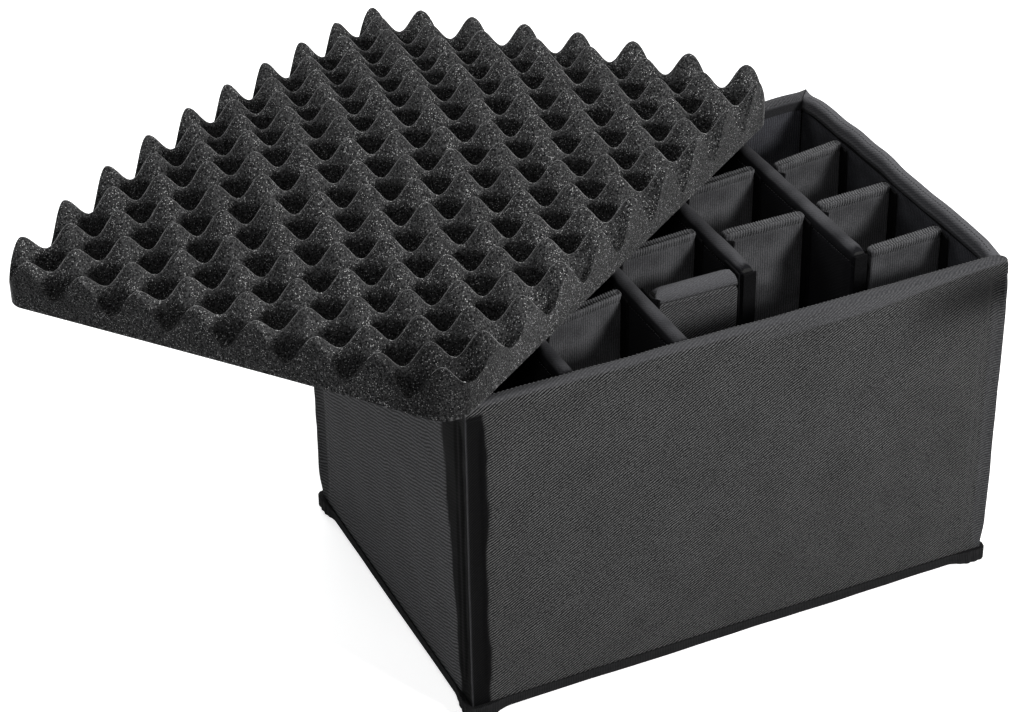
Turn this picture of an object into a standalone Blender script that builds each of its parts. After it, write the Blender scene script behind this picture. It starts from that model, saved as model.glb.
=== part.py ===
"""Padded divider box for a camera case, with a convoluted foam pad laid askew on its rims.

The frame is in metres with +Z up. The origin is the centre of the box's underside, +X runs
along the front wall from left to right, and -Y is the front.
"""
import math

import bmesh
import bpy

# Clearance between pieces that touch
gap = 0.0003

# Box
box_length = 0.500
box_width = 0.3334
box_height = 0.319

# Wall: outer cover folded over the rim, stiff foam board, loop lining
cover_thickness = 0.0012
board_thickness = 0.0080
lining_thickness = 0.0015
hem_depth = 0.014
rim_radius = 0.0045
board_end_inset = 0.022
board_edge_radius = 0.0032

# Soft relief of a cover's outer leg
corner_band = 0.022
ridge_width = 0.006
ridge_height = 0.0015
corner_dip = 0.0018
face_crown = 0.0018
rim_fade = 0.030
foot_fade = 0.030

# Base
edge_lift = 0.0068
dish_start = 0.016
dish_end = 0.032
floor_height = 0.0135
base_corner_radius = 0.004

# Binding tape round the bottom edge, puckered at the corners
binding_thickness = 0.0015
binding_height = 0.010
binding_reach = 0.014
binding_corner_radius = 0.001
pucker_length = 0.034
pucker_drop = 0.0046
pucker_swell = 0.0028
pucker_near = 0.012

# Long dividers: a twill sleeve over a foam core
long_thickness = 0.015
long_drop = 0.009
sleeve_thickness = 0.0012
sleeve_corner_radius = 0.004
sleeve_seam_drop = 0.013
sleeve_seam_depth = 0.0007
sleeve_seam_height = 0.0016
ridge_flat = 0.002

# Thin cross dividers: one laminated panel of loop cloth and foam
cross_thickness = 0.009
cross_drop = 0.012
cross_edge_radius = 0.0016

# Hook strips on the dividers' ends
hook_width = 0.026
hook_thickness = 0.0020
hook_radius = 0.005
hook_top_drop = 0.004
hook_foot_rise = 0.020
free_hook_margin = 0.0012

# Foam pad
pad_width = 0.452
pad_length = 0.561
pad_thickness = 0.050
pad_web = 0.015
peak_pitch = 0.0583
first_peak_u = 0.0307
first_peak_v = 0.0030
pad_skew_cut = 0.016
pad_yaw = math.radians(-56.6)
pad_left_overhang = 0.0233
pad_front_overhang = 0.0350
droop_slope = 0.14
droop_start = 0.045
droop_blend = 0.030
edge_curl = 0.009
curl_reach = 0.131

# Where the dividers stand, as shares of the inner length and width of the box
long_place_shares = (0.186, 0.4025, 0.615, 0.8206)
long_front_shares = (0, 0, 0.257, 0.2008)
cross_place_shares = {
    "cross_2_front": (0.280, 0.331),
    "cross_3_front": (0.281, 0.281),
    "cross_3_mid": (0.502, 0.518),
    "cross_4_front": (0.469, 0.466),
    "cross_4_back": (0.727, 0.749),
    "cross_5_front": (0.217, 0.230),
    "cross_5_mid": (0.489, 0.498),
    "cross_5_back": (0.733, 0.769),
}
sleeved_cross = ("cross_3_front",)

# Mesh resolution
corner_steps = 5
plan_steps = 2
pad_steps_per_pitch = 6
edge_column_share = 1 / 3
pad_floor_stride = 3

# Sizes that follow from the ones above
wall_thickness = cover_thickness + gap + board_thickness + gap + lining_thickness
wall_foot = edge_lift + cover_thickness + gap
inner_length = box_length - 2 * wall_thickness
inner_width = box_width - 2 * wall_thickness
divider_foot = floor_height + gap
end_allowance = gap + hook_thickness + gap
binding_foot = edge_lift - gap - binding_thickness
binding_top = binding_foot + binding_height

wall_table = {
    "front": (box_length, 0, -box_width / 2, 0),
    "right": (box_width, box_length / 2, 0, math.radians(90)),
    "back": (box_length, 0, box_width / 2, math.radians(180)),
    "left": (box_width, -box_length / 2, 0, math.radians(-90)),
}


def clear_scene():
    """Remove every object that the file starts with."""
    for old in list(bpy.data.objects):
        bpy.data.objects.remove(old, do_unlink=True)


def make_material(name, colour, roughness, metallic=0.0):
    """Return a Principled material of one linear colour."""
    material = bpy.data.materials.new(name)
    material.use_nodes = True
    shader = material.node_tree.nodes["Principled BSDF"]
    shader.inputs["Base Color"].default_value = (*colour, 1.0)
    shader.inputs["Roughness"].default_value = roughness
    shader.inputs["Metallic"].default_value = metallic
    return material


def make_materials():
    """Make the part's materials, keyed by what they cover."""
    return {
        "twill": make_material("twill", (0.040, 0.040, 0.042), 0.62),
        "board": make_material("board", (0.020, 0.020, 0.021), 0.80),
        "loop": make_material("loop", (0.034, 0.034, 0.036), 0.95),
        "binding": make_material("binding", (0.010, 0.010, 0.011), 0.70),
        "hook": make_material("hook", (0.008, 0.008, 0.009), 0.75),
        "foam": make_material("foam", (0.036, 0.036, 0.037), 1.00),
    }


def add_object(name, shape, material, place=(0, 0, 0), yaw=0, parent=None):
    """Turn a bmesh into a named object, with its faces facing out."""
    bmesh.ops.recalc_face_normals(shape, faces=shape.faces[:])
    mesh = bpy.data.meshes.new(name)
    shape.to_mesh(mesh)
    shape.free()
    mesh.materials.append(material)
    mesh.shade_smooth()
    mesh.set_sharp_from_angle(angle=math.radians(35))
    obj = bpy.data.objects.new(name, mesh)
    bpy.context.collection.objects.link(obj)
    obj.parent = parent
    obj.location = place
    obj.rotation_euler = (0, 0, yaw)
    return obj


def add_empty(name, place):
    """Add the parent empty of a piece that moves."""
    empty = bpy.data.objects.new(name, None)
    bpy.context.collection.objects.link(empty)
    empty.location = place
    return empty


def smooth(share):
    """Ease from 0 to 1 as share goes from 0 to 1."""
    held = min(max(share, 0), 1)
    return held * held * (3 - 2 * held)


def outline(length, width, radius, steps, marks=()):
    """Points round a rounded rectangle, with their distance from its nearest corner.

    Each corner is an arc of the given number of steps. Each side also has a point at every
    distance in marks, measured from both of its corners.
    """
    half_x = length / 2
    half_y = width / 2
    corners = ((1, 1, 0), (-1, 1, 90), (-1, -1, 180), (1, -1, 270))
    points = []
    for sign_x, sign_y, first in corners:
        centre_x = sign_x * (half_x - radius)
        centre_y = sign_y * (half_y - radius)
        for step in range(steps + 1):
            angle = math.radians(first + 90 * step / steps)
            x = centre_x + radius * math.cos(angle)
            y = centre_y + radius * math.sin(angle)
            points.append((x, y, 0))
        along_x = sign_x == sign_y
        reach = half_x if along_x else half_y
        runs = [(mark, reach - mark) for mark in marks]
        runs += [(mark, mark - reach) for mark in reversed(marks)]
        for mark, run in runs:
            if along_x:
                points.append((sign_x * run, sign_y * half_y, mark))
            else:
                points.append((sign_x * half_x, sign_y * run, mark))
    return points


def stack_rings(shape, rings, closed=False):
    """Bridge rings of equal count, and cap the first and last unless they close a tube."""
    loops = [[shape.verts.new(point) for point in ring] for ring in rings]
    count = len(loops[0])
    pairs = list(zip(loops, loops[1:]))
    if closed:
        pairs.append((loops[-1], loops[0]))
    for lower, upper in pairs:
        for k in range(count):
            after = (k + 1) % count
            shape.faces.new((lower[k], lower[after], upper[after], upper[k]))
    if not closed:
        shape.faces.new(list(reversed(loops[0])))
        shape.faces.new(loops[-1])


def rectangle_stack(length, width, radius, profile, steps=plan_steps, skew=0):
    """Stack rounded rectangles at each (inset, z) of a profile, sheared along Y by skew."""
    shape = bmesh.new()
    rings = []
    for inset, z in profile:
        ring_radius = max(radius - inset, radius / 4)
        ring = outline(length - 2 * inset, width - 2 * inset, ring_radius, steps)
        rings.append([(x, y + skew * x / length, z) for x, y, _ in ring])
    stack_rings(shape, rings)
    return shape


def rounded_top(top, radius, flat, steps=3):
    """Profile of (inset, z) that rounds a top edge, ending where a flat strip is left."""
    points = []
    for step in range(1, steps + 1):
        angle = math.radians(90 * step / steps)
        inset = radius * (1 - math.cos(angle))
        points.append((min(inset, radius - flat / 2), top - radius + radius * math.sin(angle)))
    return points


def cover_section():
    """Closed section of a cover, as (depth, z), from the outer foot over the rim and back."""
    foot_level = binding_top + gap
    levels = [wall_foot, foot_level, foot_level + foot_fade]
    levels += [(foot_level + box_height) / 2, box_height - rim_fade]
    outer = [(0, z) for z in levels]
    inner = [(cover_thickness, z) for z in levels]
    centre_z = box_height - rim_radius
    far = wall_thickness - rim_radius
    for path, radius in ((outer, rim_radius), (inner, rim_radius - cover_thickness)):
        for angle in (0, 45, 90):
            turn = math.radians(angle)
            path.append((rim_radius - radius * math.cos(turn), centre_z + radius * math.sin(turn)))
        for angle in (90, 45, 0):
            turn = math.radians(angle)
            path.append((far + radius * math.cos(turn), centre_z + radius * math.sin(turn)))
    outer.append((wall_thickness, box_height - hem_depth))
    inner.append((wall_thickness - cover_thickness, box_height - hem_depth))
    return outer + list(reversed(inner))


def leg_bulge(depth, z, corner_distance, half):
    """How far a cover's outer leg stands out: a ridge at each corner, a dip, then a crown."""
    if depth > cover_thickness:
        return 0
    foot_level = binding_top + gap
    if z <= foot_level:
        return 0
    fade = smooth((z - foot_level) / foot_fade) * smooth((box_height - rim_radius - z) / rim_fade)
    ridge = ridge_height * smooth(1 - corner_distance / ridge_width)
    dip_share = min(corner_distance, corner_band) / corner_band
    dip = corner_dip * math.sin(math.pi * dip_share)
    inward = max(corner_distance - corner_band, 0) / (half - corner_band)
    rise = math.sin(math.pi * (z - foot_level) / (box_height - foot_level))
    crown = face_crown * math.sin(math.pi * inward / 2) * rise
    return fade * (ridge - dip) + crown


def wall_cover(length):
    """Loft the cover's section along a wall, mitred at both ends.

    A station's distance from its corner is corner_distance. Deeper points stop shorter,
    x = half - gap - corner_distance - depth (1 - corner_distance / corner_band), so that the
    covers of two walls meet in the mitre plane.
    """
    half = length / 2
    section = cover_section()
    near = [0, ridge_width, corner_band / 2, corner_band]
    middle_count = 4
    span = half - corner_band
    middle = [corner_band + span * k / middle_count for k in range(1, middle_count)]
    stations = [(-1, distance) for distance in near + middle]
    stations.append((1, half))
    stations += [(1, distance) for distance in reversed(near + middle)]
    rings = []
    for side, distance in stations:
        ring = []
        for depth, z in section:
            settled = depth - leg_bulge(depth, z, distance, half)
            mitre = settled * max(0, 1 - distance / corner_band)
            ring.append((side * max(half - gap - distance - mitre, 0), settled, z))
        rings.append(ring)
    shape = bmesh.new()
    stack_rings(shape, rings)
    return shape


def slab(length, depth, height):
    """A plain block whose underside is centred on the origin."""
    shape = bmesh.new()
    bmesh.ops.create_cube(shape, size=1)
    bmesh.ops.scale(shape, vec=(length, depth, height), verts=shape.verts)
    bmesh.ops.translate(shape, vec=(0, 0, height / 2), verts=shape.verts)
    return shape


def soften(obj, radius, segments=2):
    """Round an object's edges with a bevel."""
    bevel = obj.modifiers.new("soft_edges", "BEVEL")
    bevel.width = radius
    bevel.segments = segments
    bevel.limit_method = "ANGLE"


def inward_place(place_x, place_y, yaw, depth, z):
    """World place of a point at the given depth into a wall, on the wall's middle."""
    return (place_x - depth * math.sin(yaw), place_y + depth * math.cos(yaw), z)


def build_walls(materials):
    """Each wall's folded cover, foam board and loop lining."""
    for side, (length, x, y, yaw) in wall_table.items():
        add_object(side + "_cover", wall_cover(length), materials["twill"], (x, y, 0), yaw)

        board_top = box_height - cover_thickness - gap
        board = slab(length - 2 * board_end_inset, board_thickness, board_top - wall_foot)
        board_depth = cover_thickness + gap + board_thickness / 2
        place = inward_place(x, y, yaw, board_depth, wall_foot)
        soften(add_object(side + "_board", board, materials["board"], place, yaw), board_edge_radius)

        lining_top = box_height - hem_depth - gap
        lining_length = length - 2 * wall_thickness - 2 * gap
        lining = slab(lining_length, lining_thickness, lining_top - wall_foot)
        lining_depth = wall_thickness - lining_thickness / 2
        place = inward_place(x, y, yaw, lining_depth, wall_foot)
        add_object(side + "_lining", lining, materials["loop"], place, yaw)


def dished(inset_start, lift):
    """Profile of the dished underside, from its outer edge to the flat middle."""
    middle = (dish_start + dish_end) / 2
    return [
        (inset_start, edge_lift + lift),
        (dish_start, edge_lift + lift),
        (middle, edge_lift / 2 + lift),
        (dish_end, lift),
    ]


def build_base(materials):
    """The base's dished cover, its foam board and the loop floor."""
    under = dished(0, 0)
    over = dished(0, cover_thickness)
    cover = rectangle_stack(box_length, box_width, base_corner_radius, under[::-1] + over)
    add_object("base_cover", cover, materials["twill"])

    inset = wall_thickness + gap
    board_top = floor_height - lining_thickness - gap
    profile = dished(inset, cover_thickness + gap)[::-1] + [(inset, board_top)]
    board = rectangle_stack(box_length, box_width, base_corner_radius, profile)
    add_object("base_board", board, materials["board"])

    floor_profile = [(inset, board_top + gap), (inset, floor_height)]
    floor = rectangle_stack(box_length, box_width, base_corner_radius, floor_profile)
    add_object("floor_lining", floor, materials["loop"])


def build_binding(materials):
    """Tape round the bottom edge: an L section that swells and drops at each corner."""
    leg_top = edge_lift - gap
    outer_face = gap + binding_thickness
    section = (
        (outer_face, binding_foot, 1, 1),
        (outer_face, binding_top, 0, 1),
        (gap, binding_top, 0, 0),
        (gap, leg_top, 0, 0),
        (-binding_reach, leg_top, 0, 0),
        (-binding_reach, binding_foot, 1, 0),
    )
    marks = (pucker_near, (pucker_near + pucker_length) / 2, pucker_length)
    rings = []
    for offset, z, drop_share, swell_share in section:
        radius = binding_corner_radius + max(offset - gap, 0)
        ring = []
        points = outline(box_length + 2 * offset, box_width + 2 * offset, radius, corner_steps, marks)
        for x, y, distance in points:
            pucker = smooth(1 - max(distance - pucker_near, 0) / (pucker_length - pucker_near))
            swell = pucker_swell * pucker * swell_share
            if distance:
                on_end = abs(abs(x) - box_length / 2 - offset) < gap
                push_x = math.copysign(swell, x) if on_end else 0
                push_y = 0 if on_end else math.copysign(swell, y)
            else:
                push_x = math.copysign(swell * math.sqrt(1 / 2), x)
                push_y = math.copysign(swell * math.sqrt(1 / 2), y)
            ring.append((x + push_x, y + push_y, z - pucker_drop * pucker * drop_share))
        rings.append(ring)
    shape = bmesh.new()
    stack_rings(shape, rings, closed=True)
    add_object("bottom_binding", shape, materials["binding"])


def sleeve_profile(top, inset, foot):
    """Side of a long divider as (inset, z): straight, pinched at the seam, rounded on top."""
    seam = top - sleeve_seam_drop
    side = [
        (inset, foot),
        (inset, seam - sleeve_seam_height),
        (inset + sleeve_seam_depth, seam),
        (inset, seam + sleeve_seam_height),
    ]
    radius = long_thickness / 2 - inset
    arc = rounded_top(top - inset, radius, ridge_flat)
    return side + [(inset + turn_in, z) for turn_in, z in arc]


def sleeve_and_core(name, length, top, materials, place, yaw, parent=None):
    """A sewn sleeve, open at its foot, and the foam core inside it."""
    foot = divider_foot
    outside = sleeve_profile(top, 0, foot)
    inside = sleeve_profile(top, sleeve_thickness, foot)
    core_side = sleeve_profile(top, sleeve_thickness + gap, foot)
    sleeve = rectangle_stack(length, long_thickness, sleeve_corner_radius, inside[::-1] + outside)
    add_object(name + "_sleeve", sleeve, materials["twill"], place, yaw, parent)
    core = rectangle_stack(length, long_thickness, sleeve_corner_radius, core_side)
    add_object(name + "_core", core, materials["board"], place, yaw, parent)


def hook_strip(name, width, top, materials, place, yaw, parent=None):
    """A flat strip of hook tape, its thickness along X, standing on a divider's end."""
    foot = divider_foot + hook_foot_rise
    height = top - hook_top_drop - foot
    face = outline(width, height, hook_radius, plan_steps)
    rings = []
    for side in (-1, 1):
        x = side * hook_thickness / 2
        rings.append([(x, y, foot + height / 2 + z) for y, z, _ in face])
    shape = bmesh.new()
    stack_rings(shape, rings)
    add_object(name, shape, materials["hook"], place, yaw, parent)


def long_places():
    """Each long divider's centre line x, and the y of its front and back ends."""
    rows = []
    back = inner_width / 2 - end_allowance
    for x_share, front_share in zip(long_place_shares, long_front_shares):
        x = (x_share - 1 / 2) * inner_length
        front = (front_share - 1 / 2) * inner_width
        rows.append((x, front + end_allowance, back, front_share > 0))
    return rows


def build_long_dividers(materials):
    """Four dividers that run from front to back, with a hook strip on each end."""
    top = box_height - long_drop
    for number, (x, front, back, free_end) in enumerate(long_places(), 1):
        name = "long_" + str(number)
        turned = math.radians(90)
        place = (x, (front + back) / 2, 0)
        sleeve_and_core(name, back - front, top, materials, place, turned)
        offset = gap + hook_thickness / 2
        width = long_thickness - 2 * free_hook_margin if free_end else hook_width
        hook_strip(name + "_front_hook", width, top, materials, (x, front - offset, 0), turned)
        hook_strip(name + "_back_hook", hook_width, top, materials, (x, back + offset, 0), turned)


def column_sides(column):
    """Left and right faces of a column, with the y where each side's face starts."""
    long_rows = long_places()
    left_x = -inner_length / 2
    right_x = inner_length / 2
    left_start = -inner_width / 2
    right_start = -inner_width / 2
    if column > 1:
        x, front, _, free_end = long_rows[column - 2]
        left_x = x + long_thickness / 2
        left_start = front if free_end else left_start
    if column <= len(long_rows):
        x, front, _, free_end = long_rows[column - 1]
        right_x = x - long_thickness / 2
        right_start = front if free_end else right_start
    return left_x, left_start, right_x, right_start


def build_cross_dividers(materials):
    """Dividers that bridge a column, each with a hook strip on its left and right ends."""
    for name, (left_share, right_share) in cross_place_shares.items():
        column = int(name.split("_")[1])
        left_x, left_start, right_x, right_start = column_sides(column)
        left_y = (left_share - 1 / 2) * inner_width
        right_y = (right_share - 1 / 2) * inner_width
        length = right_x - left_x - 2 * end_allowance
        middle = ((left_x + right_x) / 2, (left_y + right_y) / 2, 0)
        body = add_empty(name, middle)
        if name in sleeved_cross:
            top = box_height - long_drop
            sleeve_and_core(name, length, top, materials, (0, 0, 0), 0, body)
        else:
            top = box_height - cross_drop
            profile = [
                (cross_edge_radius, divider_foot),
                (0, divider_foot + cross_edge_radius),
                (0, top - cross_edge_radius),
                (cross_edge_radius / 2, top - cross_edge_radius / 4),
                (cross_edge_radius, top),
            ]
            panel = rectangle_stack(
                length, cross_thickness, cross_edge_radius * 2, profile, skew=right_y - left_y
            )
            add_object(name + "_panel", panel, materials["loop"], (0, 0, 0), 0, body)
        offset = length / 2 + gap + hook_thickness / 2
        for side, y, start in (("left", left_y, left_start), ("right", right_y, right_start)):
            held_y = max(y, start + hook_width / 2)
            side_x = -offset if side == "left" else offset
            place = (side_x, held_y - middle[1], 0)
            hook_strip(name + "_" + side + "_hook", hook_width, top, materials, place, 0, body)


def pad_columns(first_peak, inner_end, end):
    """Grid places along one way of the pad, on the peaks' rhythm, with both cut edges."""
    step = peak_pitch / pad_steps_per_pitch
    first = math.ceil(edge_column_share - first_peak / step)
    last = math.floor((inner_end - first_peak) / step - edge_column_share)
    return [0] + [first_peak + step * k for k in range(first, last + 1)] + [end]


def pad_droop(x, y):
    """How far the pad hangs below the rims at a place beyond the box."""
    over_x = max(abs(x) - box_length / 2, 0)
    over_y = max(abs(y) - box_width / 2, 0)
    past = max(math.hypot(over_x, over_y) - droop_start, 0)
    return droop_slope * past * past / (past + droop_blend)


def pad_curl(u):
    """How far the pad's right part curls up above the rims."""
    past = max(u - (pad_width - curl_reach), 0)
    return edge_curl * (past / curl_reach) ** 2


def foam_pad():
    """Convoluted pad: peaks and pits on a square lattice over a web, bent where it overhangs.

    The top stands at web + (thickness - web) (1 + cos(2 pi u / pitch) cos(2 pi v / pitch)) / 2,
    with u and v counted from the first peak. The right edge is cut a little out of square.
    """
    along_u = pad_columns(first_peak_u, pad_width - pad_skew_cut, pad_width)
    along_v = pad_columns(first_peak_v, pad_length, pad_length)
    turn_x = math.cos(pad_yaw)
    turn_y = math.sin(pad_yaw)
    centre_u = pad_width / 2
    centre_v = pad_length / 2
    corner_x = -box_length / 2 - pad_left_overhang
    corner_y = -box_width / 2 - pad_front_overhang
    origin_x = corner_x - (pad_width - centre_u) * turn_x - centre_v * turn_y
    origin_y = corner_y - (pad_width - centre_u) * turn_y + centre_v * turn_x
    shape = bmesh.new()

    def place(u, v):
        """Edge columns follow the skewed cut."""
        cut = pad_width - pad_skew_cut * v / pad_length
        return min(u, cut) if u == pad_width else u

    def sink(u, v):
        """How far a place of the pad hangs below its flat lie on the rims."""
        local_u = u - centre_u
        local_v = v - centre_v
        x = origin_x + local_u * turn_x - local_v * turn_y
        y = origin_y + local_u * turn_y + local_v * turn_x
        return pad_droop(x, y) - pad_curl(u)

    def height(u, v):
        """Top of the foam above its flat underside."""
        wave_u = math.cos(2 * math.pi * (u - first_peak_u) / peak_pitch)
        wave_v = math.cos(2 * math.pi * (v - first_peak_v) / peak_pitch)
        return pad_web + (pad_thickness - pad_web) * (1 + wave_u * wave_v) / 2

    top = []
    for u in along_u:
        column = []
        for v in along_v:
            held = place(u, v)
            z = height(held, v) - sink(held, v)
            column.append(shape.verts.new((held - centre_u, v - centre_v, z)))
        top.append(column)
    marks_u = coarse_marks(len(along_u) - 1)
    marks_v = coarse_marks(len(along_v) - 1)
    floor = []
    for i in marks_u:
        column = []
        for j in marks_v:
            held = place(along_u[i], along_v[j])
            z = -sink(held, along_v[j])
            column.append(shape.verts.new((held - centre_u, along_v[j] - centre_v, z)))
        floor.append(column)
    for grid in (top, floor):
        for i in range(len(grid) - 1):
            for j in range(len(grid[0]) - 1):
                shape.faces.new((grid[i][j], grid[i + 1][j], grid[i + 1][j + 1], grid[i][j + 1]))
    close_side(shape, [column[0] for column in top], [column[0] for column in floor], marks_u)
    close_side(shape, [column[-1] for column in top], [column[-1] for column in floor], marks_u)
    close_side(shape, top[0], floor[0], marks_v)
    close_side(shape, top[-1], floor[-1], marks_v)
    bmesh.ops.triangulate(shape, faces=shape.faces[:])
    return shape, (origin_x, origin_y, box_height + gap)


def coarse_marks(last):
    """Indices of the fine grid that the underside's coarser grid keeps."""
    count = max(1, round(last / pad_floor_stride))
    return [round(last * k / count) for k in range(count + 1)]


def close_side(shape, fine, coarse, marks):
    """Fill a cut face between the top's fine edge and the underside's coarse edge."""
    for k in range(len(marks) - 1):
        first = marks[k]
        last = marks[k + 1]
        middle = (first + last) // 2
        for q in range(first, middle):
            shape.faces.new((coarse[k], fine[q], fine[q + 1]))
        shape.faces.new((coarse[k], fine[middle], coarse[k + 1]))
        for q in range(middle, last):
            shape.faces.new((coarse[k + 1], fine[q], fine[q + 1]))


def main():
    """Build the whole insert."""
    clear_scene()
    materials = make_materials()
    build_walls(materials)
    build_base(materials)
    build_binding(materials)
    build_long_dividers(materials)
    build_cross_dividers(materials)
    pad, place = foam_pad()
    add_object("foam_pad", pad, materials["foam"], place, pad_yaw)


main()
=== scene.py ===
# %% [markdown]
# # A padded divider box with a convoluted foam pad
# The real object is a soft box that lifts out of a hard camera case. Four padded walls in
# charcoal twill stand on a padded floor, thin dividers hold on inside with hook and loop,
# and a sheet of egg-crate foam lies askew on the rims. Every size here is in metres.
# This lesson keeps the rigid frame that was measured in CAD, and dresses it in cloth and
# foam. Each surface is worked out as whole numpy arrays and then handed to Blender.

import bmesh
import bpy
import numpy as np
from mathutils import Matrix, Vector


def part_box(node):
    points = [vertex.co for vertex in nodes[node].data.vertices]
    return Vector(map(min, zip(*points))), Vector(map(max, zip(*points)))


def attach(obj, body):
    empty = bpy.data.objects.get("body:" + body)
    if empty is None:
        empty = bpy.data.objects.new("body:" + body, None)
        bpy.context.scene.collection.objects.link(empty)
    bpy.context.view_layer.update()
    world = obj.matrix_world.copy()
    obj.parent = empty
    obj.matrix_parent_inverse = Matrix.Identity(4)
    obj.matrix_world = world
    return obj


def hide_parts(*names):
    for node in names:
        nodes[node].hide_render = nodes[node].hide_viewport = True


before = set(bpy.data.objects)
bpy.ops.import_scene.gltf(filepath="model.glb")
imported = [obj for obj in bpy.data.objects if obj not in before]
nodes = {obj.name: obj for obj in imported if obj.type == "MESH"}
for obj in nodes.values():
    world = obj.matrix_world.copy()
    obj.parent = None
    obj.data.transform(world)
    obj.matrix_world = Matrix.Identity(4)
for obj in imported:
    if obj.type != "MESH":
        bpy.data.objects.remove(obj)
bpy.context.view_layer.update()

# %% [markdown]
# ## The camera comes first
# The place of the camera was solved from the box's corners and the foam's even lattice.
# A long lens from about two and a half metres gives the photograph's calm perspective.
# The camera leans by less than a degree, which the roll gives back.

# %% Camera at the photograph's angle
camera_place = Vector((-0.96227, -1.80137, 1.55545))
camera_target = Vector((-0.07104, 0.14121, 0.130))
camera_roll = np.radians(-0.92)

camera_data = bpy.data.cameras.new("photo_camera")
camera_data.sensor_width = 36.0
camera_data.lens = 99.2
camera_data.clip_start = 0.05
camera_data.clip_end = 60.0
camera = bpy.data.objects.new("photo_camera", camera_data)
bpy.context.scene.collection.objects.link(camera)
back = (camera_place - camera_target).normalized()
right = Vector((0, 0, 1)).cross(back).normalized()
up = back.cross(right)
leaned_right = right * np.cos(camera_roll) + up * np.sin(camera_roll)
leaned_up = up * np.cos(camera_roll) - right * np.sin(camera_roll)
turn = Matrix((leaned_right, leaned_up, back)).transposed().to_4x4()
camera.matrix_world = Matrix.Translation(camera_place) @ turn
bpy.context.scene.camera = camera
print("camera is", round((camera_place - camera_target).length, 3), "m from the box")

# %% [markdown]
# ## Floor and light
# A studio sweep is only a very large pale floor. It would render a little grey, so camera
# rays get a touch of its own light, and the soft shadow under the box stays.
# The light is plain: a soft lamp low at the front right, a weaker one at the left and above,
# a wide one behind, and an even sky. Low lamps light the foam's slopes and leave its pits
# dark. The one behind draws the pale line along every crest and rim.

# %% Floor
floor_mesh = bpy.data.meshes.new("studio_floor")
reach = 30.0
corners = [(-reach, -reach, 0), (reach, -reach, 0), (reach, reach, 0), (-reach, reach, 0)]
floor_mesh.from_pydata(corners, [], [(0, 1, 2, 3)])
studio_floor = bpy.data.objects.new("studio_floor", floor_mesh)
bpy.context.scene.collection.objects.link(studio_floor)


def wire(tree, kind, inputs=None, **properties):
    """Add a shader node. Each input is linked if it is a socket, and set if it is a value."""
    made = tree.nodes.new("ShaderNode" + kind)
    for key, value in properties.items():
        setattr(made, key, value)
    for key, value in (inputs or {}).items():
        if isinstance(value, bpy.types.NodeSocket):
            tree.links.new(value, made.inputs[key])
        else:
            made.inputs[key].default_value = value
    return made


def empty_material(name):
    """A material with only its output node, and that node."""
    material = bpy.data.materials.new(name)
    material.use_nodes = True
    material.node_tree.nodes.clear()
    return material, material.node_tree, wire(material.node_tree, "OutputMaterial")


floor_paint, tree, output = empty_material("floor_paint")
seen = wire(tree, "LightPath")
bright = wire(tree, "Math", {0: seen.outputs["Is Camera Ray"], 1: 0.78}, operation="MULTIPLY")
glow = wire(tree, "Emission", {"Color": (1, 1, 1, 1), "Strength": bright.outputs[0]})
matt = wire(tree, "BsdfDiffuse", {"Color": (0.86, 0.86, 0.86, 1)})
both = wire(tree, "AddShader", {0: glow.outputs[0], 1: matt.outputs[0]})
tree.links.new(both.outputs[0], output.inputs["Surface"])
floor_mesh.materials.append(floor_paint)
print("floor is", 2 * reach, "m across")

# %% Lamps and sky


def soft_lamp(name, place, aim, width, power, colour=(1, 1, 1)):
    """A square area lamp that faces a point."""
    data = bpy.data.lights.new(name, "AREA")
    data.size = width
    data.energy = power
    data.color = colour
    lamp = bpy.data.objects.new(name, data)
    bpy.context.scene.collection.objects.link(lamp)
    lamp.location = place
    lamp.rotation_euler = (Vector(aim) - Vector(place)).to_track_quat("-Z", "Y").to_euler()


box_middle, pad_middle = (0, 0, 0.2), (0, 0.3, 0.3)
soft_lamp("key_lamp", (1.20, -2.75, 1.75), box_middle, 0.55, 86)
soft_lamp("left_lamp", (-2.9, -0.7, 1.35), box_middle, 0.9, 6, (0.90, 0.94, 1.0))
soft_lamp("high_lamp", (-0.6, -1.5, 2.6), box_middle, 0.9, 11)
soft_lamp("back_lamp", (0.2, 1.9, 2.2), pad_middle, 1.6, 54)

world = bpy.data.worlds.new("studio_sky")
bpy.context.scene.world = world
world.use_nodes = True
tree = world.node_tree
tree.nodes.clear()
output = wire(tree, "OutputWorld")
seen = wire(tree, "LightPath").outputs["Is Camera Ray"]
even = wire(tree, "Background", {"Color": (1, 1, 1, 1), "Strength": 0.12})
white = wire(tree, "Background", {"Color": (1, 1, 1, 1), "Strength": 1.0})
sky = wire(tree, "MixShader", {0: seen, 1: even.outputs[0], 2: white.outputs[0]})
tree.links.new(sky.outputs[0], output.inputs["Surface"])
bpy.context.scene.view_settings.view_transform = "Standard"
print("four lamps and an even sky")

# %% [markdown]
# ## Tools for cloth and foam
# Every piece is a grid: rows of points that run one way, rings or lines the other. One
# helper turns such arrays into a mesh, sews its doubled edges and turns its faces outward.
# Its UV map is in metres of cloth, so that a weave has the same pitch on every piece.

# %% Mesh helpers
sewing_distance = 2e-6
crisp_angle = np.radians(38)


def grid_quads(rows, columns, wrap=False):
    """Corner numbers of a grid's faces. With wrap, the last column joins the first."""
    row = np.arange(rows - 1)[:, None]
    column = np.arange(columns if wrap else columns - 1)[None, :]
    after = (column + 1) % columns
    corners = (
        row * columns + column,
        row * columns + after,
        (row + 1) * columns + after,
        (row + 1) * columns + column,
    )
    return np.stack(np.broadcast_arrays(*corners), axis=-1).reshape(-1, 4)


def grid_cloth_uv(along, up):
    """Each face corner's place on the cloth, from two arrays of lengths over the grid.

    On a grid that closes on itself, both arrays have one more column than it has points.
    """
    place = np.stack(np.broadcast_arrays(along, up), axis=-1)
    return place.reshape(-1, 2)[grid_quads(*place.shape[:2])]


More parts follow.
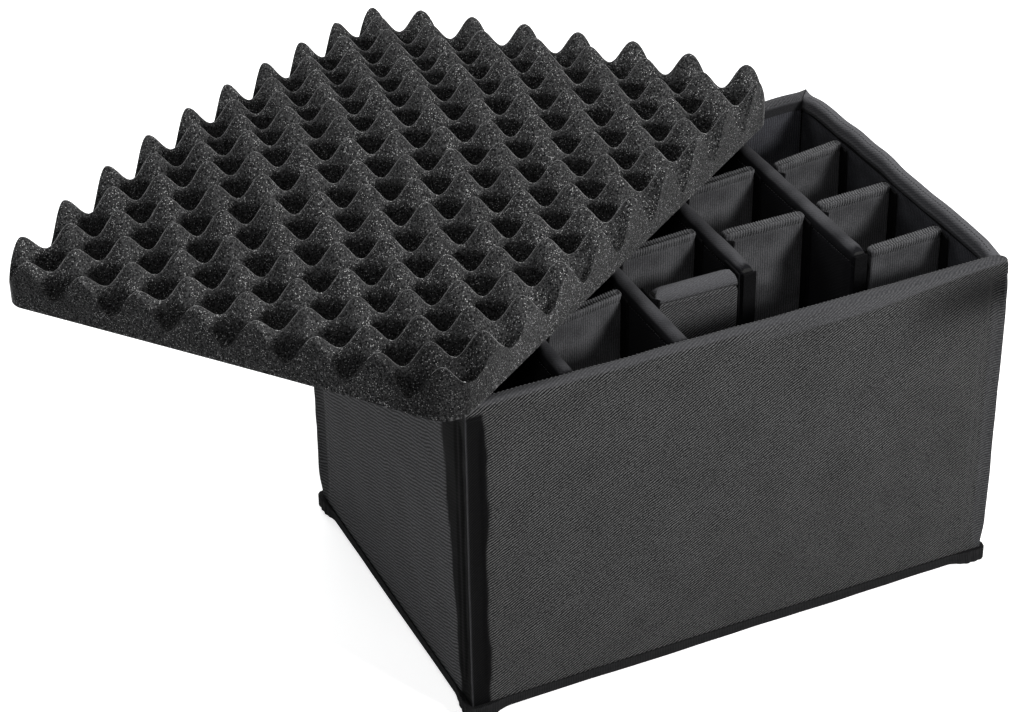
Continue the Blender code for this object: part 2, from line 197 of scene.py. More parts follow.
def make_piece(name, points, quads, finish, cloth_uv=None, marks=None):
    """Turn arrays into a closed object that faces outward.

    points is (n, 3), quads is (m, 4), cloth_uv is (m, 4, 2) and marks is a dict of one
    value for each point.
    """
    mesh = bpy.data.meshes.new(name)
    mesh.vertices.add(len(points))
    mesh.vertices.foreach_set("co", np.asarray(points, np.float32).ravel())
    mesh.loops.add(quads.size)
    mesh.loops.foreach_set("vertex_index", quads.astype(np.int32).ravel())
    mesh.polygons.add(len(quads))
    mesh.polygons.foreach_set("loop_start", np.arange(0, quads.size, 4, dtype=np.int32))
    if cloth_uv is not None:
        layer = mesh.uv_layers.new(name="cloth")
        layer.data.foreach_set("uv", cloth_uv.astype(np.float32).ravel())
    for key, values in (marks or {}).items():
        mark = mesh.attributes.new(key, "FLOAT", "POINT")
        mark.data.foreach_set("value", values.astype(np.float32).ravel())
    mesh.update(calc_edges=True)
    shape = bmesh.new()
    shape.from_mesh(mesh)
    bmesh.ops.remove_doubles(shape, verts=shape.verts[:], dist=sewing_distance)
    bmesh.ops.dissolve_degenerate(shape, edges=shape.edges[:], dist=sewing_distance)
    bmesh.ops.recalc_face_normals(shape, faces=shape.faces[:])
    shape.to_mesh(mesh)
    shape.free()
    mesh.materials.append(finish)
    mesh.shade_smooth()
    mesh.set_sharp_from_angle(angle=crisp_angle)
    piece = bpy.data.objects.new(name, mesh)
    bpy.context.scene.collection.objects.link(piece)
    return piece


print("a grid of 3 by 4 points has", len(grid_quads(3, 4)), "faces")

# %% Curves and waves


def ease(share):
    """Ease from 0 to 1: three times the square less twice the cube."""
    held = np.clip(share, 0, 1)
    return held * held * (3 - 2 * held)


def dent(distance, width):
    """A soft bump of height 1 at distance 0: e to the minus square of distance over width."""
    return np.exp(-((distance / width) ** 2))


def ripples(across, up, seed, lengths, heights):
    """Uneven cloth: for each length and height, three plane waves in seeded directions."""
    chance = np.random.RandomState(seed)
    total = np.zeros(np.broadcast(across, up).shape)
    for length, height in zip(lengths, heights):
        for _ in range(3):
            angle = chance.uniform(0, np.pi)
            phase = chance.uniform(0, 2 * np.pi)
            run = across * np.cos(angle) + up * np.sin(angle)
            total = total + height / 3 * np.sin(2 * np.pi * run / length + phase)
    return total


print("a quarter of the way, ease gives", ease(0.25))

# %% Paths and places


def run_length(path):
    """Distance along a path of points, starting at 0."""
    steps = np.linalg.norm(np.diff(path, axis=0), axis=1)
    return np.concatenate(([0], np.cumsum(steps)))


def turned(points, place, yaw):
    """Turn points about Z by yaw, then move them to place."""
    x, y, z = points[..., 0], points[..., 1], points[..., 2]
    moved_x = place[0] + x * np.cos(yaw) - y * np.sin(yaw)
    moved_y = place[1] + x * np.sin(yaw) + y * np.cos(yaw)
    return np.stack((moved_x, moved_y, z + place[2]), axis=-1)


print("a path over 3 and up 4 is", run_length(np.array(((0, 0), (3, 4))))[-1], "long")

# %% [markdown]
# ## Tools for finishes
# All finishes here are built from the same few shader nodes, so each kind gets a short
# helper that adds the node and hands back its result. Numbers that are the same all over a
# surface, such as roughness, are set on the shader itself.

# %% Shader helpers


def maths(tree, operation, *values, **properties):
    """The result of a Math node. Each value is a socket or a number."""
    return wire(tree, "Math", dict(enumerate(values)), operation=operation, **properties).outputs[0]


def noise(tree, place, scale, detail):
    """Cloudy noise from 0 to 1. scale is about how many clouds there are in a metre."""
    return wire(tree, "TexNoise", {"Vector": place, "Scale": scale, "Detail": detail}).outputs[0]


def mixed(tree, share, first, second, **properties):
    """Two colours mixed by share. Each colour is a socket or three numbers."""
    ends = [c if isinstance(c, bpy.types.NodeSocket) else (*c, 1) for c in (first, second)]
    return wire(tree, "MixRGB", {0: share, 1: ends[0], 2: ends[1]}, **properties).outputs[0]


def mapped(tree, value, low, high, start=0.0, end=1.0):
    """Map low to high onto start to end, and hold all values beyond."""
    limits = {"From Min": low, "From Max": high, "To Min": start, "To Max": end}
    return wire(tree, "MapRange", {"Value": value, **limits}).outputs[0]


def mark(tree, name):
    """A number that the piece carries at each of its points."""
    return wire(tree, "Attribute", attribute_name=name).outputs["Fac"]


def ribs(tree, run, pitch):
    """Ribs across a cloth: 0.5 + 0.5 sin(2 pi run / pitch)."""
    turns = maths(tree, "MULTIPLY", run, 2 * np.pi / pitch)
    return maths(tree, "MULTIPLY_ADD", maths(tree, "SINE", turns), 0.5, 0.5)


def bumped(tree, height, strength, distance, **properties):
    """A bump of the surface. distance is its depth in metres."""
    inputs = {"Strength": strength, "Distance": distance, "Height": height}
    return wire(tree, "Bump", inputs, **properties).outputs[0]


def shade_with(tree, output, colour, bump, roughness, specular, sheen=0.0, sheen_roughness=0.5):
    """A Principled shader. Sheen is the light that loose fibres catch at a glancing angle."""
    inputs = {
        "Base Color": colour,
        "Roughness": roughness,
        "Specular IOR Level": specular,
        "Sheen Weight": sheen,
        "Sheen Roughness": sheen_roughness,
        "Normal": bump,
    }
    shader = wire(tree, "BsdfPrincipled", inputs)
    tree.links.new(shader.outputs[0], output.inputs["Surface"])


print("shader helpers ready")

# %% [markdown]
# ## Charcoal twill
# The outer cloth is a fine twill: pale slanting threads on a near-black ground. At the
# photograph's scale the slant is what the eye reads. Two sine waves make it, one for the
# slanting rows and one that breaks them into short floats. A slow noise makes the cloth a
# little uneven. Where a piece says that its cloth is pulled smooth, the weave fades.
# There it is also painted near black, a painted shade and dark reflection. Where a piece marks a
# painted highlight, the cloth turns a paler grey.

# %% Twill


def weave_height(tree, cloth_uv, pitch, slope):
    """Height of the twill's slanting rows from 0 to 1, as a socket.

    It is 0.5 + 1.5 sin(2 pi (slope u - v) / (pitch sqrt(1 + slope^2))), held between 0 and 1,
    times 0.72 + 0.28 sin(2 pi (u + v) / (0.8 pitch)), which breaks the rows into floats.
    """
    split = wire(tree, "SeparateXYZ", {0: cloth_uv})
    u, v = split.outputs[0], split.outputs[1]
    across = maths(tree, "SUBTRACT", maths(tree, "MULTIPLY", u, slope), v)
    drift = noise(tree, cloth_uv, 60.0, 2.0)
    drifted = maths(tree, "MULTIPLY_ADD", drift, pitch * 1.4, across)
    per_metre = 2 * np.pi / (pitch * np.sqrt(1 + slope * slope))
    sine = maths(tree, "SINE", maths(tree, "MULTIPLY", drifted, per_metre))
    row = maths(tree, "MULTIPLY_ADD", sine, 1.5, 0.5, use_clamp=True)
    steps = maths(tree, "MULTIPLY", maths(tree, "ADD", u, v), 2 * np.pi / (0.8 * pitch))
    floats = maths(tree, "MULTIPLY_ADD", maths(tree, "SINE", steps), 0.28, 0.72)
    return maths(tree, "MULTIPLY", row, floats)


def twill_finish(name, ground, thread, smooth_shade_colour, pitch, slope, edge=1.0):
    """Twill cloth with two marks.

    One mark hides the weave where the cloth is pulled, and paints it near black there, a
    painted shade and dark reflection. The other is a painted highlight that turns the cloth a
    paler grey where it goes round an edge. edge makes that painted highlight paler still.
    """
    material, tree, output = empty_material(name)
    place = wire(tree, "UVMap", uv_map="cloth").outputs[0]
    height = weave_height(tree, place, pitch, slope)
    grain = noise(tree, place, 600.0, 2.0)
    uneven = maths(tree, "MULTIPLY_ADD", noise(tree, place, 26.0, 5.0), 0.7, 0.65)
    grained = maths(tree, "MULTIPLY_ADD", grain, 3.2, -0.6)
    shade = maths(tree, "MULTIPLY", height, maths(tree, "MULTIPLY", grained, uneven))
    woven = mixed(tree, shade, ground, thread, use_clamp=True)
    # Painted shade: near black where the cloth is pulled smooth.
    dressed = mixed(tree, mark(tree, "smooth_shaded_cloth"), woven, smooth_shade_colour)
    # Painted highlight: a paler grey where light catches the cloth round an edge.
    highlight_dark = edge * np.array((0.034, 0.034, 0.037))
    highlight_pale = edge * np.array((0.130, 0.130, 0.138))
    highlight_grey = mixed(tree, grain, highlight_dark, highlight_pale)
    colour = mixed(tree, mark(tree, "painted_highlight"), dressed, highlight_grey)
    shade_with(tree, output, colour, bumped(tree, height, 0.45, 0.0003), 0.70, 0.06, 0.04, 0.4)
    return material


front_weave, side_weave = (0.00232, 0.57), (0.0032, 0.35)
# The near-black colours of smooth cloth, on the walls and on the sleeves, are painted shade and
# dark reflection.
black_ground, smooth_shade_black = (0.003, 0.003, 0.0033), (0.0022, 0.0022, 0.0024)
grey_thread, sleeve_smooth_shade = (0.132, 0.132, 0.132), (0.012, 0.012, 0.014)
twill = twill_finish("charcoal_twill", black_ground, grey_thread, smooth_shade_black, *front_weave)
# The left wall's copy is painted lighter, for light that its lamp does not give: painted light.
lit_left_twill = twill_finish(
    "charcoal_twill_lit_left", (0.039, 0.039, 0.040), (0.165, 0.165, 0.172), smooth_shade_black, *side_weave
)
# The sleeves' copy is painted darker, partly as painted shade.
shaded_sleeve_twill = twill_finish(
    "shaded_sleeve_twill", (0.012, 0.012, 0.013), (0.090, 0.090, 0.092), sleeve_smooth_shade, 0.0025, 0.8
)
# The right wall's copy has a paler painted highlight.
highlit_right_twill = twill_finish(
    "charcoal_twill_highlit_right", black_ground, grey_thread, smooth_shade_black, *front_weave, 1.9
)
# The cross divider's copy is painted lighter, for the shade that it stands in: painted light.
lit_divider_twill = twill_finish(
    "lit_divider_twill", (0.016, 0.016, 0.0165), (0.150, 0.150, 0.154), sleeve_smooth_shade, *front_weave, 1.3
)
print("five twills, with rows 2.3 to 3.2 mm apart")

# %% [markdown]
# ## Loop cloth
# The inside is lined with brushed loop cloth, which hook tape grips. It has faint upright
# ribs and a fuzz that catches light at a glancing angle. Sheen gives that fuzz, and a fine
# noise breaks up the ribs so that they do not look printed.

# %% Loop cloth
rib_pitch = 0.0023


def loop_finish(name, dark, pale, sheen):
    """Brushed loop cloth with upright ribs: a sine of u over the pitch, times noise."""
    material, tree, output = empty_material(name)
    place = wire(tree, "UVMap", uv_map="cloth").outputs[0]
    u = wire(tree, "SeparateXYZ", {0: place}).outputs[0]
    drifted = maths(tree, "MULTIPLY_ADD", noise(tree, place, 120.0, 2.0), rib_pitch, u)
    ribbed = maths(tree, "MULTIPLY_ADD", ribs(tree, drifted, rib_pitch), 0.45, 0.35)
    fuzzed = maths(tree, "MULTIPLY", noise(tree, place, 700.0, 4.0), ribbed)
    patched = maths(tree, "MULTIPLY", noise(tree, place, 40.0, 4.0), fuzzed)
    share = maths(tree, "MULTIPLY", patched, 4.2)
    colour = mixed(tree, share, dark, pale, use_clamp=True)
    shade_with(tree, output, colour, bumped(tree, fuzzed, 0.5, 0.0004), 0.95, 0.03, sheen, 0.4)
    return material


loop_cloth = loop_finish("loop_cloth", (0.013, 0.013, 0.014), (0.112, 0.112, 0.117), 0.06)
# The linings and floor use a darker copy of the same loop cloth: painted shade for the inside of
# the box.
shaded_loop = loop_finish("shaded_loop_cloth", (0.010, 0.010, 0.012), (0.070, 0.071, 0.080), 0.04)
print("loop cloth has a rib every", rib_pitch * 1000, "mm")

# %% [markdown]
# ## Tape, thread and hook
# The bottom edge is bound in black ribbed tape. Thread is dark and slightly shiny. Hook
# tape is near black, and its tiny hooks are a Voronoi bump, far too small to model.

# %% Small finishes


def ribbed_tape(name, dark, pale, pitch):
    """Woven tape: ribs along u, worn by noise."""
    material, tree, output = empty_material(name)
    place = wire(tree, "UVMap", uv_map="cloth").outputs[0]
    rib = ribs(tree, wire(tree, "SeparateXYZ", {0: place}).outputs[0], pitch)
    worn = maths(tree, "MULTIPLY", rib, noise(tree, place, 160.0, 4.0))
    colour = mixed(tree, worn, dark, pale)
    shade_with(tree, output, colour, bumped(tree, rib, 0.5, 0.0003), 0.70, 0.10, 0.03, 0.4)
    return material


def hook_finish(name, dark, pale):
    """Hook tape: Voronoi cells two thirds of a millimetre apart stand up as hooks."""
    material, tree, output = empty_material(name)
    place = wire(tree, "TexCoord").outputs["Object"]
    cells = wire(tree, "TexVoronoi", {"Vector": place, "Scale": 1500.0}).outputs[0]
    colour = mixed(tree, cells, pale, dark, use_clamp=True)
    shade_with(tree, output, colour, bumped(tree, cells, 0.8, 0.0005, invert=True), 0.70, 0.04)
    return material


def plain_grain(name, dark, pale, scale, roughness, sheen):
    """A finish with a grain: noise on Object coordinates between two colours."""
    material, tree, output = empty_material(name)
    grain = noise(tree, wire(tree, "TexCoord").outputs["Object"], scale, 3.0)
    colour = mixed(tree, grain, dark, pale)
    shade_with(tree, output, colour, bumped(tree, grain, 0.4, 0.0003), roughness, 0.3, sheen)
    return material


binding_tape = ribbed_tape("binding_tape", (0.006, 0.006, 0.0065), (0.030, 0.030, 0.031), 0.0016)
hook_tape = hook_finish("hook_tape", (0.003, 0.003, 0.0032), (0.013, 0.013, 0.014))
thread = plain_grain("sewing_thread", (0.045, 0.045, 0.047), (0.10, 0.10, 0.104), 900.0, 0.5, 0.1)
edge_thread = plain_grain(
    "edge_thread", (0.085, 0.085, 0.089), (0.215, 0.215, 0.22), 700.0, 0.6, 0.1
)
foam_board = plain_grain(
    "foam_board", (0.012, 0.012, 0.012), (0.030, 0.030, 0.030), 600.0, 0.9, 0.0
)
print("five small finishes")

# %% [markdown]
# ## Open-cell foam
# Charcoal foam is a mesh of tiny cells. Seen from two metres it is matt and dark, with a
# pale fuzz on every outline and small bright specks where a cell's skin flashes. The fuzz
# is sheen. The specks are painted glints: the middles of a few Voronoi cells, picked by their
# random colour. The piece marks how deep each point lies, and the pits are painted darker,
# a painted shade, as are the near corner and the near cut side.

# %% Foam finish
cells_in_a_metre = 1250.0
# The foam's painted shade: where its mark starts, where it is full, and how dark it gets.
pit_start, pit_end, painted_pit_shade = 0.45, 0.54, 0.38


def foam_finish(name):
    """Foam: a cell bump, a cloudy grey, and painted glints where a cell's random value is high.

    The mark named pit paints shade on the foam, from pit_start on, to its darkest at pit_end.
    """
    material, tree, output = empty_material(name)
    place = wire(tree, "TexCoord").outputs["Object"]
    cells = wire(tree, "TexVoronoi", {"Vector": place, "Scale": cells_in_a_metre})
    distance = cells.outputs["Distance"]
    fine = noise(tree, place, 620.0, 4.0)
    chance = wire(tree, "SeparateColor", {0: cells.outputs["Color"]}).outputs[0]
    speck = maths(
        tree, "MULTIPLY", mapped(tree, chance, 0.89, 0.93), mapped(tree, distance, 0.62, 0.25)
    )
    where = mapped(tree, noise(tree, place, 45.0, 4.0), 0.38, 0.62, 0.35, 1.0)
    grey = mixed(
        tree, mapped(tree, fine, 0.38, 0.64), (0.012, 0.012, 0.0123), (0.090, 0.090, 0.091)
    )
    # Painted glints: bright specks put into the colour.
    painted_glints = maths(tree, "MULTIPLY", speck, where)
    speckled = mixed(tree, painted_glints, grey, (0.95, 0.95, 0.95), use_clamp=True)
    # Painted shade, from the mark named pit.
    lit = mapped(tree, mark(tree, "pit"), pit_start, pit_end, 1.0, painted_pit_shade)
    colour = mixed(tree, 1.0, speckled, lit, blend_type="MULTIPLY")
    bump = bumped(tree, maths(tree, "ADD", distance, fine), 0.25, 0.0008)
    shade_with(tree, output, colour, bump, 1.0, 0.02, 1.0, 0.23)
    return material


foam = foam_finish("open_cell_foam")
print("foam cells are about", round(1000 / cells_in_a_metre, 1), "mm")

# %% [markdown]
# ## The foam pad
# Egg-crate foam is cut between two rollers with pegs, which leaves peaks and pits in a
# square lattice. Its height is a web plus half the depth times one plus the product of two
# cosines. The knife that trims a sheet knows nothing of the lattice, so the cut sides show
# peaks sliced anywhere. The sheet lies flat on the rims and bends down where it overhangs.
# Along its free near side it is a little thinner.

# %% Pad sizes
pad_width, pad_length = 0.452, 0.561
pad_thickness, pad_web, pad_crown = 0.0510, 0.0120, 0.0045
peak_pitch = 0.0583
first_peak_u, first_peak_v = 0.0307, 0.0030
pad_skew_cut = 0.016
pad_yaw = np.radians(-56.6)
pad_corner = (-0.2733, -0.2017)
pad_step, side_rows = 0.0024, 12
pad_corner_radius = 0.022
raised_under, shallow_pits = 0.0070, 0.0090
# Marks for plain foam, and for the painted shade along the pad's near cut side.
plain_mark, beside_shade = 0.35, 0.50
edge_curl, curl_reach = 0.009, 0.131
box_length, box_width, box_height = 0.500, 0.3334, 0.319
gap = 0.0003
droop_slope, droop_start, droop_blend = 0.15, 0.045, 0.030
turn_x, turn_y = np.cos(pad_yaw), np.sin(pad_yaw)
pad_origin_x = pad_corner[0] - pad_width / 2 * turn_x - pad_length / 2 * turn_y
pad_origin_y = pad_corner[1] - pad_width / 2 * turn_y + pad_length / 2 * turn_x
print("pad turns on", round(pad_origin_x, 4), round(pad_origin_y, 4))

# %% Pad corners


def round_plan_corner(a, b):
    """Map a unit square onto a quarter disc: a sqrt(1 - b b / 2), b sqrt(1 - a a / 2)."""
    return a * np.sqrt(1 - b * b / 2), b * np.sqrt(1 - a * a / 2)


def rounded_plan(u, v, width, length, radius):
    """Round the four corners of a plan, and leave all points further in as they are."""
    from_middle_u, from_middle_v = u - width / 2, v - length / 2
    over_u = (np.abs(from_middle_u) - (width / 2 - radius)) / radius
    over_v = (np.abs(from_middle_v) - (length / 2 - radius)) / radius
    in_corner = (over_u > 0) & (over_v > 0)
    new_u, new_v = round_plan_corner(np.clip(over_u, 0, 1), np.clip(over_v, 0, 1))
    moved_u = np.sign(from_middle_u) * (width / 2 - radius + new_u * radius) + width / 2
    moved_v = np.sign(from_middle_v) * (length / 2 - radius + new_v * radius) + length / 2
    return np.where(in_corner, moved_u, u), np.where(in_corner, moved_v, v)


print("pad corners are rounded by", pad_corner_radius * 1000, "mm")

# %% Pad surface


def past_rims(x, y):
    """How far a place is outside the box's plan."""
    over_x = np.maximum(np.abs(x) - box_length / 2, 0)
    over_y = np.maximum(np.abs(y) - box_width / 2, 0)
    return np.hypot(over_x, over_y)


def pad_world(u, v, z):
    """A place on the pad in the room: hung down beyond the rims, curled up by its right edge.

    The droop is slope s s / (s + blend), where s is how far it is past the droop's start.
    """
    local_u, local_v = u - pad_width / 2, v - pad_length / 2
    x = pad_origin_x + local_u * turn_x - local_v * turn_y
    y = pad_origin_y + local_u * turn_y + local_v * turn_x
    past = np.maximum(past_rims(x, y) - droop_start, 0)
    droop = droop_slope * past * past / (past + droop_blend)
    curl = edge_curl * (np.maximum(u - (pad_width - curl_reach), 0) / curl_reach) ** 2
    return np.stack((x, y, z - droop + curl + box_height + gap), axis=-1)


def lattice(u, v):
    """Height of the foam: web + depth (1 + cos(2 pi u / pitch) cos(2 pi v / pitch)) / 2."""
    wave_u = np.cos(2 * np.pi * (u - first_peak_u) / peak_pitch)
    wave_v = np.cos(2 * np.pi * (v - first_peak_v) / peak_pitch)
    return pad_web + (pad_thickness - pad_web) * (1 + wave_u * wave_v) / 2


def pad_swell(u, v):
    """The foam is a little fuller in its middle: crown sin(pi u / width) sin(pi v / length)."""
    return pad_crown * np.sin(np.pi * u / pad_width) * np.sin(np.pi * v / pad_length)


def outer_hang(v, place):
    """Where the near side hangs clear of the box: 0 over the rims or inside, 1 at the free side."""
    return ease(past_rims(place[..., 0], place[..., 1]) / 0.09) * ease(1 - v / 0.085)


print("a peak is", round(lattice(first_peak_u, first_peak_v) * 1000, 1), "mm high")

# %% Pad marks


def grid_rim(grid):
    """The outer row of a grid of points, once round."""
    return np.concatenate((grid[:-1, 0], grid[-1, :-1], grid[:0:-1, -1], grid[0, :0:-1]))


def painted_shade_marks(u, v, pit, side_shape):
    """The foam's painted shade mark on its top, underside and cut sides. The pits get painted
    shade, and so do the near corner and the near cut side.

    Beside the cut sides that open on the pits, the painted shade fades, because light comes in
    there.
    """
    from_side = np.minimum(u[-1:] - u, pad_length - v)
    top = plain_mark + (pit - plain_mark) * ease((from_side - 0.015) / 0.016)
    # Painted shade by the pad's near corner.
    corner = 0.95 * ease((0.12 - v) / 0.10) * ease((u - pad_width + 0.14) / 0.12)
    top = np.maximum(top, pit_start + (pit_end - pit_start) * corner)
    under = np.full(v.size, plain_mark)
    # Painted shade on the near cut side and by the near corner.
    shade = np.maximum(beside_shade * (grid_rim(v) < 0.004), grid_rim(corner))
    beside = np.broadcast_to(pit_start + (pit_end - pit_start) * shade, side_shape)
    return np.concatenate((top.ravel(), under, beside.ravel()))


print("the foam darkens from a mark of", pit_start, "to", pit_end)

# %% Foam pad


def foam_pad():
    """Top, underside and cut sides of the pad, as one closed shape."""
    u, v = np.meshgrid(
        np.linspace(0, pad_width, round(pad_width / pad_step)),
        np.linspace(0, pad_length, round(pad_length / pad_step)),
        indexing="ij",
    )
    u, v = rounded_plan(u, v, pad_width, pad_length, pad_corner_radius)
    u = u * (1 - pad_skew_cut / pad_width * v / pad_length)
    height = lattice(u, v) + ripples(u, v, 4, (0.05, 0.02), (0.0005, 0.0003))
    pit = (pad_thickness - height) / (pad_thickness - pad_web)
    hang = outer_hang(v, pad_world(u, v, height))
    top = pad_world(u, v, height + pad_swell(u, v) + shallow_pits * hang * pit)
    under = pad_world(u, v, raised_under * hang)
    top_rim, under_rim = grid_rim(top), grid_rim(under)
    share = np.linspace(0, 1, side_rows)[:, None, None]
    side = top_rim[None] * (1 - share) + under_rim[None] * share
    count = u.size
    quads = [
        grid_quads(*u.shape),
        grid_quads(*u.shape) + count,
        grid_quads(side_rows, len(top_rim), wrap=True) + 2 * count,
    ]
    points = np.concatenate((top.reshape(-1, 3), under.reshape(-1, 3), side.reshape(-1, 3)))
    marks = {"pit": painted_shade_marks(u, v, pit, side.shape[:2])}
    return make_piece("foam_sheet", points, np.concatenate(quads), foam, marks=marks)


foam_sheet = foam_pad()
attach(foam_sheet, "pad")
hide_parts("foam_pad")
print("foam sheet has", len(foam_sheet.data.polygons), "faces")

# %% [markdown]
# ## The four wall covers
# Each wall is a stiff foam board in a cover that folds over the rim. The cover's section is
# a hook shape: up the outside, over a rounded rim and a little way down the inside. Carried
# along the wall, it stops on the mitre with its neighbour. Where two walls meet, the cloth
# is pinched into a fine ridge, and beside it it sinks, because no board backs it there.
# The sunk band beside each corner, and a hollow by the front's right corner, are also painted near
# black: painted shade and dark reflection. Rims, corners and the front's padded roll get painted
# highlights.

# %% Wall sizes
cover_thickness, board_thickness, lining_thickness = 0.0012, 0.0080, 0.0015
wall_thickness = cover_thickness + gap + board_thickness + gap + lining_thickness
edge_lift = 0.0068
wall_foot = edge_lift + cover_thickness + gap
binding_thickness, binding_height = 0.0015, 0.010
binding_foot = edge_lift - gap - binding_thickness
binding_top = binding_foot + binding_height
hem_depth, rim_radius, rim_zone = 0.014, 0.0045, 0.040
corner_band, wall_step = 0.022, 0.003
wall_table = {
    "front": (box_length, 0, -box_width / 2, 0),
    "right": (box_width, box_length / 2, 0, np.radians(90)),
    "back": (box_length, 0, box_width / 2, np.radians(180)),
    "left": (box_width, -box_length / 2, 0, np.radians(-90)),
}
print("wall is", round(wall_thickness * 1000, 1), "mm thick")

# %% Cover section


def cover_paths():
    """The cover's outer and inner faces as (depth, z) from the foot over the rim."""
    low = np.arange(wall_foot, box_height - rim_zone, wall_step)
    high = np.arange(box_height - rim_zone, box_height - rim_radius, wall_step / 3)
    levels = np.concatenate((low, high))
    centre_z = box_height - rim_radius
    far = wall_thickness - rim_radius
    turn = np.radians(np.linspace(0, 90, 9))
    hem = np.linspace(centre_z, box_height - hem_depth, 6)[1:]
    paths = []
    for depth, radius in ((0, rim_radius), (cover_thickness, rim_radius - cover_thickness)):
        leg = np.stack((np.full_like(levels, depth), levels), axis=1)
        arc_z = centre_z + radius * np.sin(turn)
        rise = np.stack((rim_radius - radius * np.cos(turn), arc_z), axis=1)
        fall = np.stack((far + radius * np.cos(turn), arc_z), axis=1)[::-1]
        down = np.stack((np.full_like(hem, far + radius), hem), axis=1)
        paths.append(np.concatenate((leg, rise, fall, down)))
    return paths


print("a cover's section has", len(cover_paths()[0]), "places on each face")

# %% Rim line
rim_table = {
    "front": (3, 0.0005, 0.0, (1,)),
    "right": (8, 0.0030, 0.0062, (-1, 1)),
    "back": (5, 0.0010, 0.0, (-1,)),
    "left": (1, 0.0, 0.0, ()),
}
tip_height, tip_width = 0.0016, 0.007


def rim_wave(side, x):
    """How far a rim stands above or below its level: slow waves, and tips at free corners.

    The table gives each rim's seed, the height of its waves, how far it stands up between
    its ends, and which ends are free. The right rim, which no pad presses down, stands up.
    """
    seed, height, raised, free_ends = rim_table[side]
    half = wall_table[side][0] / 2
    wave = ripples(x, 0 * x, seed, (0.120, 0.062, 0.034), np.array((1.0, 0.6, 0.3)) * height)
    tip = sum((tip_height * dent(x - way * half, tip_width) for way in free_ends), 0 * x)
    raised = raised * ease((half - np.abs(x)) / 0.035)
    return np.minimum(wave - height + raised, raised) + tip


print("the right rim stands up to", rim_table["right"][2] * 1000, "mm higher")

# %% Roll, hollow and pulled bands
# Each wall end's band is painted near black, a painted shade and dark reflection: its width, how
# much wider it is at the rim, and how dark it is.
band_table = {
    "front": ((0.019, 0, 1.0), (0.008, 0, 0.25)),
    "right": ((0.018, 0, 0.6), (0.018, 0, 0.6)),
    "back": ((0.018, 0, 0.6), (0.018, 0, 0.6)),
    "left": ((0.016, 0, 0.35), (0.022, 0.028, 1.0)),
}
band_edge = 0.0030


def front_roll(side, x, z):
    """The padded roll under the front rim: 1 on it and 0 below. It narrows to the right corner."""
    foot = box_height - 0.017 + 0.011 * ease((x - 0.09) / 0.15)
    return (side == "front") * ease((x + 0.05) / 0.18) * ease((z - foot) / 0.003)


def front_hollow(side, x, z):
    """The hollow under that roll by the right corner: 1 in its middle."""
    return (side == "front") * ease((x - 0.12) / 0.11) * dent(z - (box_height - 0.030), 0.024)


def pulled_shade_band(side, x, z):
    """Where a cover's cloth is pulled smooth and painted near black, a painted shade and dark
    reflection: 1 beside a corner, 0 further along. The hollow under the front's roll gets
    painted shade too.

    The table gives each band's width, how much wider it is at the rim, and its depth, for
    both ends of a wall. The left wall's band by the front corner is a wedge.
    """
    half, up = wall_table[side][0] / 2, z / box_height
    wander = ripples(z, 0 * z, 17, (0.16, 0.07, 0.025), (0.0020, 0.0012, 0.0006))
    band = 0
    for (width, wider, depth), from_end in zip(band_table[side], (half + x, half - x)):
        here = depth * ease((width + wider * up + wander - from_end) / band_edge)
        band = np.maximum(band, here)
    below_rim = ease((box_height - 0.007 - z) / 0.005)
    # Painted shade in the hollow under the front's roll.
    shaded = 0.75 * front_hollow(side, x, z) * (1 - front_roll(side, x, z))
    return np.maximum(band * below_rim, shaded)


print("the front's smooth band is", band_table["front"][0][0] * 1000, "mm wide")

# %% Cover relief
ridge_height, ridge_width = 0.0016, 0.0016
band_depth, crown_height, hem_step, roll_height = 0.0020, 0.0018, 0.0005, 0.0012
fold_table = {"front": (21, 0.5), "right": (22, 1.0), "back": (23, 0.8), "left": (24, 1.3)}
fold_lengths, fold_heights = (0.13, 0.06, 0.03), (0.0007, 0.00035, 0.00015)

def cover_relief(side, x, z, corner_distance, half):
    """How far the outer leg stands out: corner ridge, sunk band, crown, hem step and folds.

    Where the board backs the cloth, it sinks by 1 mm at most, so that the board stays covered.
    """
    above, below = z - binding_top - gap, box_height - rim_radius - z
    fade = ease(above / 0.030) * ease(below / 0.030)
    ridge = ridge_height * dent(corner_distance, ridge_width)
    sunk = band_depth * np.sin(np.pi * np.clip(corner_distance / corner_band, 0, 1))
    inward = np.clip((corner_distance - corner_band) / (half - corner_band), 0, 1)
    rise = np.sin(np.pi * np.clip(above / (box_height - binding_top), 0, 1))
    crown = crown_height * np.sin(np.pi * inward / 2) * rise
    seed, strength = fold_table[side]
    folds = strength * ripples(x, z, seed, fold_lengths, fold_heights)
    held = ease(above / 0.015) * ease((box_height - 0.020 - z) / 0.020) * ease(above / 0.01)
    hem = hem_step * ease((z - (box_height - 0.0155)) / 0.0012) * ease(below / 0.003)
    rolled = roll_height * (front_roll(side, x, z) - front_hollow(side, x, z))
    rolled = rolled * ease(corner_distance / 0.014)
    total = fade * (ridge - sunk) + crown + folds * held + hem + rolled
    backed = ease((corner_distance - 0.008) / 0.008)
    deepest = -0.0010 - 0.0020 * (1 - backed)
    return np.where(backed > 0, np.maximum(total, deepest), total)


print("a corner's ridge stands", ridge_height * 1000, "mm proud")

# %% Cover marks
# How far each painted highlight goes toward the pale grey: rim, corner, hem, roll and the front's
# right end.
rim_pale, corner_pale, hem_pale, roll_pale, end_pale = 0.70, 0.5, 0.28, 0.6, 0.35


